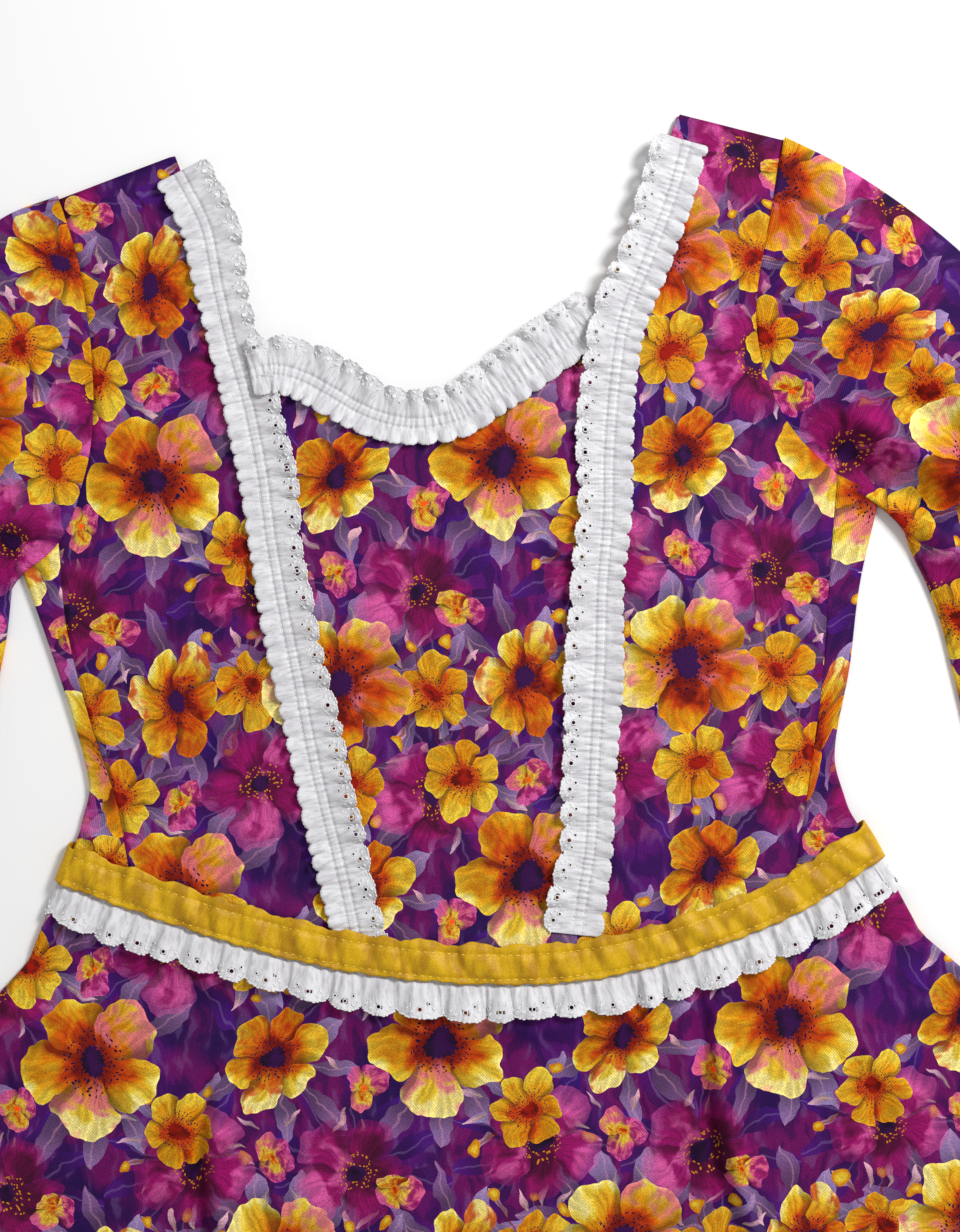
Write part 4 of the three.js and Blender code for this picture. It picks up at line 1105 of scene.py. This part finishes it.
# ------------------------------------------------------------------ trims along a path
class WaistPath:
    """All round the waist: across the front, round the side, back across the back, round the other side."""

    def __init__(self, front, back=BACK_LEVEL, step=0.5):
        rough = waist_place(np.linspace(0, 1, 600), np.zeros(600))
        width = np.linalg.norm(np.diff(rough, axis=0), axis=1).sum()
        radius, middle = (front - back) / 2, (front + back) / 2
        count = int(width / step)
        bend = np.radians(np.linspace(90, -90, max(int(math.pi * radius / step), 5) + 2)[1:-1])
        flat, side = np.zeros(count), np.ones_like(bend)
        share = np.concatenate([np.linspace(0, 1, count), side, np.linspace(1, 0, count), side * 0])
        turn = np.concatenate([flat + math.pi / 2, bend, flat - math.pi / 2, bend[::-1]])
        out = np.concatenate([flat, side, flat, -side])
        near_left, near_right = (waist_place(np.array(ends), np.zeros(2)) for ends in ((0.0, 0.01), (0.99, 1.0)))
        self.outs = (unit(near_left[0] - near_left[1]), unit(near_right[1] - near_right[0]))
        self.share, self.turn, self.out = (np.append(v, v[0]) for v in (share, turn, out))
        self.radius, self.middle = radius, middle
        plan, z = self.plan(np.arange(len(self.share)), np.zeros(len(self.share)))
        steps = np.linalg.norm(np.diff(np.c_[plan, z], axis=0), axis=1)
        self.run = np.concatenate([[0], np.cumsum(steps)])
        self.length, self.front_length = self.run[-1], self.run[count - 1]

    def side(self, index):
        """The turn round the fold, and the way out there."""
        numbers = np.arange(len(self.share))
        turn, out = np.interp(index, numbers, self.turn), np.interp(index, numbers, self.out)
        return turn, np.where((out < 0)[..., None], -self.outs[0], self.outs[1]) * out[..., None]

    def plan(self, index, v):
        index = np.asarray(index, float)
        turn, aim = self.side(index)
        place = waist_place(np.interp(index, np.arange(len(self.share)), self.share), v)
        return place + aim * (self.radius * np.cos(turn))[..., None], self.middle + self.radius * np.sin(turn)

    def index(self, u):
        return np.interp(np.mod(u, self.length), self.run, np.arange(len(self.run)))

    def base(self, u, v):
        plan, z = self.plan(self.index(u), v)
        return np.concatenate([plan, z[..., None]], -1)

    def up(self, u, v):
        turn, aim = self.side(self.index(u))
        return unit(np.concatenate([aim * np.cos(turn)[..., None], np.sin(turn)[..., None]], -1))

    def freedom(self, u, v):
        """1 across the front, where nothing presses the trim flat, less round the sides and back."""
        u = np.mod(u, self.length)
        return 0.03 + 0.97 * smooth((u + 6) / 10) * smooth((self.front_length + 6 - u) / 10)


class FrillPath(WaistPath):
    """Hangs down from under the tape, whose lower edge lies over it."""
    TUCK, TAPE_EDGE = 5.6, 1.9

    def base(self, u, v):
        return super().base(u, -(self.TUCK + np.asarray(v)))

    def freedom(self, u, v):
        """Pressed flat under the tape too."""
        return super().freedom(u, v) * (0.1 + 0.9 * smooth((np.asarray(v) - self.TAPE_EDGE) / 2.4))


class FlatPath:
    """A trim that lies on the front, along a line of plan points, with its eyelet edge to one side."""

    def __init__(self, points, aside, level, ends=(0, 0)):
        self.aside, self.level, self.ends = aside, level, ends
        points = np.array(points, float)
        self.length = np.linalg.norm(np.diff(line(points)(np.linspace(0, 1, 400)), axis=0), axis=1).sum()
        self.spine = line(points)

    def base(self, u, v):
        u, v = np.broadcast_arrays(np.asarray(u, float), np.asarray(v, float))
        here = self.spine(u / self.length)
        run = unit(self.spine((u + 2) / self.length) - self.spine((u - 2) / self.length))
        plan = here + np.stack([-run[..., 1], run[..., 0]], -1) * (self.aside * v)[..., None]
        return np.concatenate([plan, self.level(plan[..., 0], plan[..., 1], u)[..., None]], -1)

    def up(self, u, v):
        shape = np.broadcast_shapes(np.shape(u), np.shape(v))
        return np.broadcast_to(np.array([0.0, 0.0, 1.0]), (*shape, 3))

    def freedom(self, u, v):
        start, end = self.ends
        kept = np.ones(np.shape(u))
        if start:
            kept = kept * (0.15 + 0.85 * smooth(np.asarray(u) / start))
        if end:
            kept = kept * (0.25 + 0.75 * smooth((self.length - np.asarray(u)) / end))
        return kept


class Folds:
    """Uneven folds along a run of gathered cloth."""

    def __init__(self, reach, pitch, seed, uneven=0.3, closed=False):
        random = np.random.default_rng(seed)
        count = max(int(round(reach / pitch)), 2)
        widths = 1 + uneven * random.uniform(-1, 1, count)
        self.marks = np.concatenate([[0], np.cumsum(widths)]) * reach / widths.sum()
        self.depths = random.uniform(0.55, 1.2, count + 1)
        self.leans = random.uniform(0.2, 1.1, count + 1)
        if closed:
            self.depths[-1], self.leans[-1] = self.depths[0], self.leans[0]
        self.reach = reach

    def read(self, u):
        u = np.clip(u, 0, self.reach)
        phase = (np.interp(u, self.marks, np.arange(len(self.marks))) - 0.5) * math.tau
        return phase, np.interp(u, self.marks, self.depths), np.interp(u, self.marks, self.leans)


# how far a scallop stands out past the notches beside it, and how near a hole a point is moved to its rim
SCALLOP_RISE = 2.7
RIM_REACH = 0.24


class Lace:
    """Gathered eyelet lace. u runs along it and v across: 0 on the gathering, the eyelet edge above."""

    def __init__(self, path, eyelet, heading, scallop, seed, channel=2.2, fold=3.2, lean=1.9, closed=False,
                 heading_pitch=6.2, fine_pitch=2.3, fine=0.75, clear=0.5, eyelet_radius=0.78, fade=4.5):
        self.path, self.eyelet, self.heading = path, eyelet, heading
        self.channel, self.fold, self.lean, self.clear, self.closed = channel, fold, lean, clear, closed
        self.fine, self.fade, self.eyelet_radius = fine, fade, eyelet_radius
        self.scallop = path.length / max(int(round(path.length / scallop)), 2)
        self.wide = Folds(path.length, self.scallop, seed, 0.42, closed)
        self.narrow = Folds(path.length, heading_pitch, seed + 1, 0.35, closed)
        self.gathers = Folds(path.length, fine_pitch, seed + 3, 0.45, closed)
        self.lobes = (self.wide.marks[:-1] + self.wide.marks[1:]) / 2
        self.drift = np.random.default_rng(seed + 2).uniform(0, math.tau, 4)

    def edge(self, u):
        phase, depth, _ = self.wide.read(u)
        arch = np.abs(np.cos(phase / 2)) ** 0.8
        picot = 0.2 * np.sin(u * math.tau / 1.35)
        wander = 0.7 * np.sin(u / 17 + self.drift[0]) + 0.4 * np.sin(u / 7.3 + self.drift[1])
        return self.eyelet - SCALLOP_RISE + SCALLOP_RISE * arch * (0.75 + 0.28 * depth) + picot + wander

    def back_edge(self, u):
        swing, depth, _ = self.narrow.read(u)
        notch = 1.7 * depth * (1 - np.abs(np.cos(swing / 2)) ** 0.8)
        return -self.heading + notch + 0.18 * np.sin(u * math.tau / 1.3) + 0.5 * np.sin(u / 13 + self.drift[2])

    def drape(self, u, v):
        u, v = np.broadcast_arrays(np.asarray(u, float), np.asarray(v, float))
        wide = np.clip((v - self.channel) / (self.eyelet - self.channel), 0, 1.1)
        narrow = np.clip((-v - self.channel) / max(self.heading - self.channel, 1e-3), 0, 1.1)
        phase, depth, lean = self.wide.read(u)
        swing, small_depth, small_lean = self.narrow.read(u)
        free = self.path.freedom(u, v)
        ridge, ridge_depth, _ = self.gathers.read(u)
        rise = self.fold * depth * wide ** 0.8 * (0.5 + 0.5 * np.cos(phase))
        rise = rise + 0.6 * self.fold * small_depth * narrow ** 0.8 * (0.5 + 0.5 * np.cos(swing))
        rise = rise + 0.45 * wide * np.cos(phase * 2 + 3 * depth + v * 0.5)
        near = np.exp(-self.fade * (wide + 1.6 * narrow))
        rise = rise + self.fine * near * ridge_depth * (0.5 + 0.5 * np.cos(ridge)) ** 2.5
        if self.heading > self.channel:
            rise = rise - 0.6 * np.exp(-((np.abs(v) - self.channel * 0.8) / 0.5) ** 2)
        slide = self.lean * lean * wide * np.sin(phase) + 0.42 * self.lean * small_lean * narrow * np.sin(swing)
        base = self.path.base(u + slide * free, v)
        return base + self.path.up(u, v) * ((self.clear + rise) * free)[..., None]

    def facing(self, u, v):
        step = 0.25
        along = self.drape(u + step, v) - self.drape(u - step, v)
        across = self.drape(u, v + step) - self.drape(u, v - step)
        normal = unit(np.cross(along, across))
        up = self.path.up(u, v)
        return normal * np.where((normal * up).sum(-1, keepdims=True) < 0, -1, 1), unit(along)

    def eyelets(self):
        """Middle of each hole and its radius."""
        inset = self.edge(self.lobes) - SCALLOP_RISE
        holes = [(self.lobes, inset - 0.9, self.eyelet_radius)]
        if self.eyelet - self.channel > 8:
            for aside, down in ((-0.24, 2.2), (0.2, 3.1)):
                holes.append((self.lobes + aside * self.scallop, inset - down, self.eyelet_radius * 0.62))
        return holes

    def cloth(self, name, sizes, material, step=0.5, rows=(7, 11, 17)):
        columns = int(self.path.length / step) + 1
        along = np.linspace(0, self.path.length, columns)
        back, middle, front = rows
        sheet = []
        for share in np.linspace(1, 0, back, endpoint=False) if back else []:
            sheet.append(-self.channel + (self.back_edge(along) + self.channel) * share)
        start = -self.channel if back else -self.heading
        sheet += [np.full(columns, v) for v in np.linspace(start, self.channel, middle)]
        sheet += [self.channel + (self.edge(along) - self.channel) * s for s in np.linspace(0, 1, front + 1)[1:]]
        v = np.array(sheet)
        u = np.broadcast_to(along, v.shape).copy()
        inner = np.zeros(v.shape, bool)
        for at_u, at_v, radius in self.eyelets():
            for hole_u, hole_v in zip(at_u, at_v):
                du, dv = u - hole_u, v - hole_v
                away = np.hypot(du, dv)
                inner |= away < radius - RIM_REACH
                snap = (np.abs(away - radius) <= RIM_REACH) & (away > 1e-6)
                u[snap] = (hole_u + du / np.maximum(away, 1e-6) * radius)[snap]
                v[snap] = (hole_v + dv / np.maximum(away, 1e-6) * radius)[snap]
        holed = inner[:-1, :-1] | inner[:-1, 1:] | inner[1:, 1:] | inner[1:, :-1]
        flat = np.stack([u * GATHERING, v], -1)
        return Cloth().add(self.drape(u, v), flat, keep=~holed).build(name, material, sizes.lace, merge=self.closed)

    def embroidery(self, name, material, seed):
        """Stitched rings round the eyelets, a corded edge, and small leaves beside the rings."""
        parts = []
        for n, (at_u, at_v, radius) in enumerate(self.eyelets()):
            spots = self.drape(at_u, at_v)
            facing, along = self.facing(at_u, at_v)
            parts.append(scatter(f"{name}_rings_{n}", ring_part, spots + facing * 0.18, facing, along,
                                 radius + 0.16, 0.24, material, seed + n))
        inset = self.edge(self.lobes) - SCALLOP_RISE
        places, facings, alongs = [], [], []
        for du, dv in ((-0.19, 0.2), (0.19, 0.2), (-0.02, 1.3), (-0.3, -1.2), (0.3, -1.4)):
            at_u, at_v = self.lobes + du * self.scallop, inset + dv
            spots, ahead = self.drape(at_u, at_v), self.drape(at_u + np.sign(du) * 0.4, at_v + 0.4)
            facing, _ = self.facing(at_u, at_v)
            places.append(spots + facing * 0.16)
            facings.append(facing)
            alongs.append(unit(ahead - spots))
        parts.append(scatter(f"{name}_leaves", stitch_part, np.concatenate(places), np.concatenate(facings),
                             np.concatenate(alongs), 0.42, 1.9, material, seed + 5))
        u = np.linspace(0, self.path.length, int(self.path.length / 0.95))
        edge = self.drape(u, self.edge(u) - 0.15)
        facing, along = self.facing(u, self.edge(u) - 0.3)
        parts.append(scatter(f"{name}_cord", stitch_part, edge + facing * 0.1, facing, along, 0.36, 1.5,
                             material, seed + 6))
        return joined(name, parts)

    def gathering_rows(self):
        """The sewn lines that hold the gathers."""
        rows = []
        for v in (-self.channel * 0.8, self.channel * 0.8):
            u = np.linspace(0.5, self.path.length - 0.5, int(self.path.length / 0.5))
            facing, _ = self.facing(u, np.full_like(u, v))
            rows.append((self.drape(u, np.full_like(u, v)) + facing * 0.3, facing))
        return rows


def joined(name, parts):
    """Several plain meshes as one."""
    work = bmesh.new()
    for part in parts:
        work.from_mesh(part.data)
    mesh = bpy.data.meshes.new(name)
    for vertex in work.verts:
        vertex.co.z = max(vertex.co.z, LOWEST * MM)
    work.to_mesh(mesh)
    work.free()
    mesh.materials.append(parts[0].data.materials[0])
    for part in parts:
        old = part.data
        bpy.data.objects.remove(part)
        bpy.data.meshes.remove(old)
    whole = bpy.data.objects.new(name, mesh)
    bpy.context.scene.collection.objects.link(whole)
    return whole


class Tape:
    """The waist tape, sewn on by a row of stitches near each edge, so that it puckers between."""
    TOP_ROW, BOTTOM_ROW = 3.7, -5.6

    def __init__(self, path, width, seed=21):
        self.path, self.half = path, width / 2
        self.pulls = Folds(path.length, 15.5, seed, 0.4, closed=True)
        self.ripples = Folds(path.length, 6.3, seed + 1, 0.45, closed=True)

    def edge(self, u, side):
        phase, depth, _ = self.pulls.read(u)
        small, _, _ = self.ripples.read(u)
        wave = 0.85 * depth * np.cos(phase + side) * (1.0 if side > 0 else 0.35)
        return side * self.half + wave + 0.22 * np.cos(small)

    def drape(self, u, v):
        u, v = np.broadcast_arrays(np.asarray(u, float), np.asarray(v, float))
        phase, depth, lean = self.pulls.read(u)
        small, small_depth, _ = self.ripples.read(u)
        free = self.path.freedom(u, v)
        bow = np.clip(1 - (np.abs(v) / (self.half + 1)) ** 2, 0, 1)
        rise = 1.25 * depth * (0.5 + 0.5 * np.cos(phase + v * 0.3 * lean)) * (0.35 + bow)
        rise = rise + 0.3 * small_depth * np.cos(small + v * 0.35) * (0.4 + bow)
        for row in (self.TOP_ROW, self.BOTTOM_ROW):
            rise = rise - 0.6 * np.exp(-((v - row) / 0.8) ** 2)
        base = self.path.base(u + 0.6 * lean * bow * np.sin(phase) * free, v)
        return base + self.path.up(u, v) * (rise * free)[..., None]

    def cloth(self, name, sizes, material):
        u = np.linspace(0, self.path.length, int(self.path.length / 1.2))
        low, high = self.edge(u, -1), self.edge(u, 1)
        share = np.linspace(0, 1, 20)[:, None]
        v = low + (high - low) * share
        grid = np.broadcast_to(u, v.shape)
        cloth = Cloth().add(self.drape(grid, v), np.stack([grid, v], -1))
        return cloth.build(name, material, sizes.cloth, merge=True)

    def stitch_rows(self):
        rows = []
        for row in (self.TOP_ROW, self.BOTTOM_ROW):
            u = np.linspace(0, self.path.front_length, int(self.path.front_length / 0.5))
            wander = row + 0.25 * np.sin(u / 14)
            rows.append((self.drape(u, wander) + self.path.up(u, wander) * 0.42, self.path.up(u, wander)))
        return rows


def strip_path(side):
    """Line of the gathering of one strip, from the tape up to the shoulder."""
    share = 0.44
    if side == "left":
        points = [(outer + (inner - outer) * share, y) for y, outer, inner, _, _ in LACE_STRIPS]
    else:
        points = [(outer + (inner - outer) * share, y) for y, _, _, inner, outer in LACE_STRIPS]
    points[0] = (points[0][0], points[1][1] - 15 if side == "left" else points[1][1] - 12)
    aside = -1 if side == "left" else 1
    lift = 0.0 if side == "left" else 0.5

    def level(x, y, u):
        over_neck_lace = 1.6 * smooth((y - 210) / 14) if side == "right" else 0.0
        under_tape = 0.75 * smooth(1 - (u - 8) / 14)
        return front_level(x, y) + STRIP_OVER_FRONT - under_tape + over_neck_lace + lift * smooth(1 - u / 14)
    return FlatPath(points, aside, level, ends=(12, 0))


def neck_path():
    points = [(h[0] + (e[0] - h[0]) * 0.42, h[1] + (e[1] - h[1]) * 0.42) for e, h in NECK_LACE]

    def level(x, y, u):
        over_strip = 2.2 * smooth(1 - (u - 8) / 12)
        return FRONT_LEVEL + NECK_LACE_OVER_FRONT + over_strip
    return FlatPath(points, 1, level)


def stated(piece, node, extras=()):
    """Hangs a sheet of cloth and its extras from the root, in place of its node's part, which it hides."""
    lay(piece, node)
    for extra in extras:
        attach(extra, "root")


# ------------------------------------------------------------------ operators
class DRESS_OT_bodice(bpy.types.Operator):
    """Build the front and the back of the bodice"""
    bl_idname = "dress.bodice"
    bl_label = "Bodice"

    def execute(self, context):
        sizes, cloth = context.scene.huasa_dress.sizes, cotton(context)
        stated(bodice_front(sizes, cloth), "bodice_front")
        stated(bodice_back(sizes, cloth), "bodice_back")
        return {"FINISHED"}


class DRESS_OT_sleeves(bpy.types.Operator):
    """Build the two set-in sleeves"""
    bl_idname = "dress.sleeves"
    bl_label = "Sleeves"

    def execute(self, context):
        sizes, cloth = context.scene.huasa_dress.sizes, cotton(context)
        for side, (name, creases) in enumerate((("left", LEFT_SLEEVE_CREASES), ("right", RIGHT_SLEEVE_CREASES))):
            piece = sleeve(f"{name}_sleeve", side, creases, sizes, cloth, 31 + 6 * side)
            stated(piece, f"sleeve_{name}")
        return {"FINISHED"}


class DRESS_OT_skirt(bpy.types.Operator):
    """Build the two layers of the flared skirt"""
    bl_idname = "dress.skirt"
    bl_label = "Skirt"

    def execute(self, context):
        sizes, cloth = context.scene.huasa_dress.sizes, cotton(context)
        for name, node, is_front, under in (("front_skirt", "skirt_front", True, ["skirt_back"]),
                                            ("back_skirt", "skirt_back", False, ["stage_floor"])):
            piece = skirt_layer(name, is_front, sizes, cloth)
            stated(piece, node)
        return {"FINISHED"}


class DRESS_OT_tape(bpy.types.Operator):
    """Build the tape round the waist and its stitching"""
    bl_idname = "dress.tape"
    bl_label = "Waist tape"

    def execute(self, context):
        sizes, colours = context.scene.huasa_dress.sizes, context.scene.huasa_dress.colours
        tape = Tape(WaistPath(FRONT_LEVEL + TAPE_OVER_FRONT), sizes.tape_width / MM)
        piece = tape.cloth("mustard_tape", sizes, finish_named("tape_finish", lambda: waist_tape(colours)))
        thread = finish_named("tape_thread", lambda: satin_stitch("tape_thread", tuple(colours.tape_thread)))
        sewing = stitch_rows("tape_stitches", tape.stitch_rows(), sizes.stitch / MM, thread, 5,
                             radius=sizes.thread / MM)
        stated(piece, "waistband",
               extras=[sewing])
        return {"FINISHED"}


class DRESS_OT_frill(bpy.types.Operator):
    """Build the gathered eyelet frill under the tape"""
    bl_idname = "dress.frill"
    bl_label = "Waist frill"

    def execute(self, context):
        sizes = context.scene.huasa_dress.sizes
        path = FrillPath(FRONT_LEVEL + FRILL_OVER_FRONT)
        lace = Lace(path, sizes.frill_depth / MM, -0.2, sizes.frill_scallop / MM, 51, channel=0.2, fold=4.0, lean=2.5,
                    closed=True, fine_pitch=4.6, fine=1.7, fade=1.2, clear=0.25, eyelet_radius=sizes.eyelet / MM)
        piece = lace.cloth("eyelet_frill", sizes, lawn(context), step=0.6, rows=(0, 2, 26))
        work = lace.embroidery("frill_embroidery", white_thread(context), 60)
        stated(piece, "waist_frill", extras=[work])
        return {"FINISHED"}


class DRESS_OT_lace(bpy.types.Operator):
    """Build the two lace strips of the bodice and the lace of the neck"""
    bl_idname = "dress.lace"
    bl_label = "Bodice lace"

    def execute(self, context):
        sizes = context.scene.huasa_dress.sizes
        rows = (("left_strip", "lace_strip_left", strip_path("left"), 12.6, 9.2, 71),
                ("right_strip", "lace_strip_right", strip_path("right"), 12.6, 9.2, 81),
                ("neckline_lace", "neck_lace", neck_path(), 13.2, 9.0, 91))
        for name, node, path, eyelet, heading, seed in rows:
            lace = Lace(path, eyelet, heading, sizes.scallop / MM, seed, eyelet_radius=sizes.eyelet / MM)
            piece = lace.cloth(name, sizes, lawn(context))
            work = lace.embroidery(f"{name}_embroidery", white_thread(context), seed + 2)
            sewing = stitch_rows(f"{name}_stitches", lace.gathering_rows(), 1.9, white_thread(context), seed + 3,
                                 radius=0.2)
            stated(piece, node, extras=[work, sewing])
        return {"FINISHED"}


FLOOR_REACH = 8.0
# name, place, side and power of each light, in metres and watts
LIGHTS = (("key_light", (0.8, 0.75, 1.0), 0.4, 16.5), ("fill_light", (-0.9, -0.5, 1.5), 1.4, 2.4))
LIT_PLACE = (0, 0.1, 0)
WORLD_LIGHT = 0.4
# the camera's height, the width it sees at the cloth's height, its roll, and the place in the tables under it
CAMERA_HEIGHT, SEEN_WIDTH, CLOTH_HEIGHT = 0.95, 0.4682, 0.003
CAMERA_ROLL = math.radians(-3.5)
CAMERA_OVER = (12.2, 131.0)


class DRESS_OT_stage(bpy.types.Operator):
    """Lay the floor and set the lights"""
    bl_idname = "dress.stage"
    bl_label = "Stage"

    def execute(self, context):
        scene = context.scene
        mesh = bpy.data.meshes.new("stage_floor")
        corners = [(x * FLOOR_REACH, y * FLOOR_REACH, 0) for x, y in ((-1, -1), (1, -1), (1, 1), (-1, 1))]
        mesh.from_pydata(corners, [], [(0, 1, 2, 3)])
        mesh.materials.append(pale_floor(scene.huasa_dress.colours))
        floor = bpy.data.objects.new("stage_floor", mesh)
        scene.collection.objects.link(floor)
        for name, place, size, power in LIGHTS:
            lamp = bpy.data.lights.new(name, "AREA")
            lamp.shape, lamp.size, lamp.energy = "SQUARE", size, power
            light = bpy.data.objects.new(name, lamp)
            light.location = place
            light.rotation_mode = "QUATERNION"
            light.rotation_quaternion = (Vector(LIT_PLACE) - Vector(place)).to_track_quat("-Z", "Y")
            scene.collection.objects.link(light)
        world = bpy.data.worlds.new("studio")
        scene.world = world
        world.use_nodes = True
        background = world.node_tree.nodes["Background"]
        background.inputs["Color"].default_value = (1, 1, 1, 1)
        background.inputs["Strength"].default_value = WORLD_LIGHT
        scene.view_settings.view_transform = "Standard"
        return {"FINISHED"}


class DRESS_OT_camera(bpy.types.Operator):
    """Set the camera straight above the bodice"""
    bl_idname = "dress.camera"
    bl_label = "Camera"

    def execute(self, context):
        camera = bpy.data.cameras.new("camera")
        camera.sensor_width = 36.0
        camera.lens = camera.sensor_width * (CAMERA_HEIGHT - CLOTH_HEIGHT) / SEEN_WIDTH
        holder = bpy.data.objects.new("camera", camera)
        middle = (origin() + np.array([*CAMERA_OVER, 0])) * MM
        holder.location = (middle[0], middle[1], CAMERA_HEIGHT)
        holder.rotation_euler = (0, 0, CAMERA_ROLL)
        context.scene.collection.objects.link(holder)
        context.scene.camera = holder
        return {"FINISHED"}


class DRESS_PT_panel(bpy.types.Panel):
    """Sizes, colours and pieces of the dress"""
    bl_idname = "DRESS_PT_panel"
    bl_label = "Huasa dress"
    bl_space_type = "VIEW_3D"
    bl_region_type = "UI"
    bl_category = "Dress"

    def draw(self, context):
        dress = context.scene.huasa_dress
        for group in (dress.sizes, dress.colours):
            column = self.layout.column(align=True)
            for name in type(group).__annotations__:
                column.prop(group, name)
        for maker in MAKERS:
            self.layout.operator(maker.bl_idname)


MAKERS = (DRESS_OT_camera, DRESS_OT_bodice, DRESS_OT_sleeves, DRESS_OT_skirt, DRESS_OT_tape, DRESS_OT_frill,
          DRESS_OT_lace, DRESS_OT_stage)
CLASSES = (DressSizes, DressColours, Dress, *MAKERS, DRESS_PT_panel)


def register():
    for made in CLASSES:
        bpy.utils.register_class(made)
    bpy.types.Scene.huasa_dress = PointerProperty(type=Dress)


def unregister():
    del bpy.types.Scene.huasa_dress
    for made in reversed(CLASSES):
        bpy.utils.unregister_class(made)


def main():
    register()
    for maker in MAKERS:
        group, name = maker.bl_idname.split(".")
        getattr(getattr(bpy.ops, group), name)()


if __name__ == "__main__":
    main()
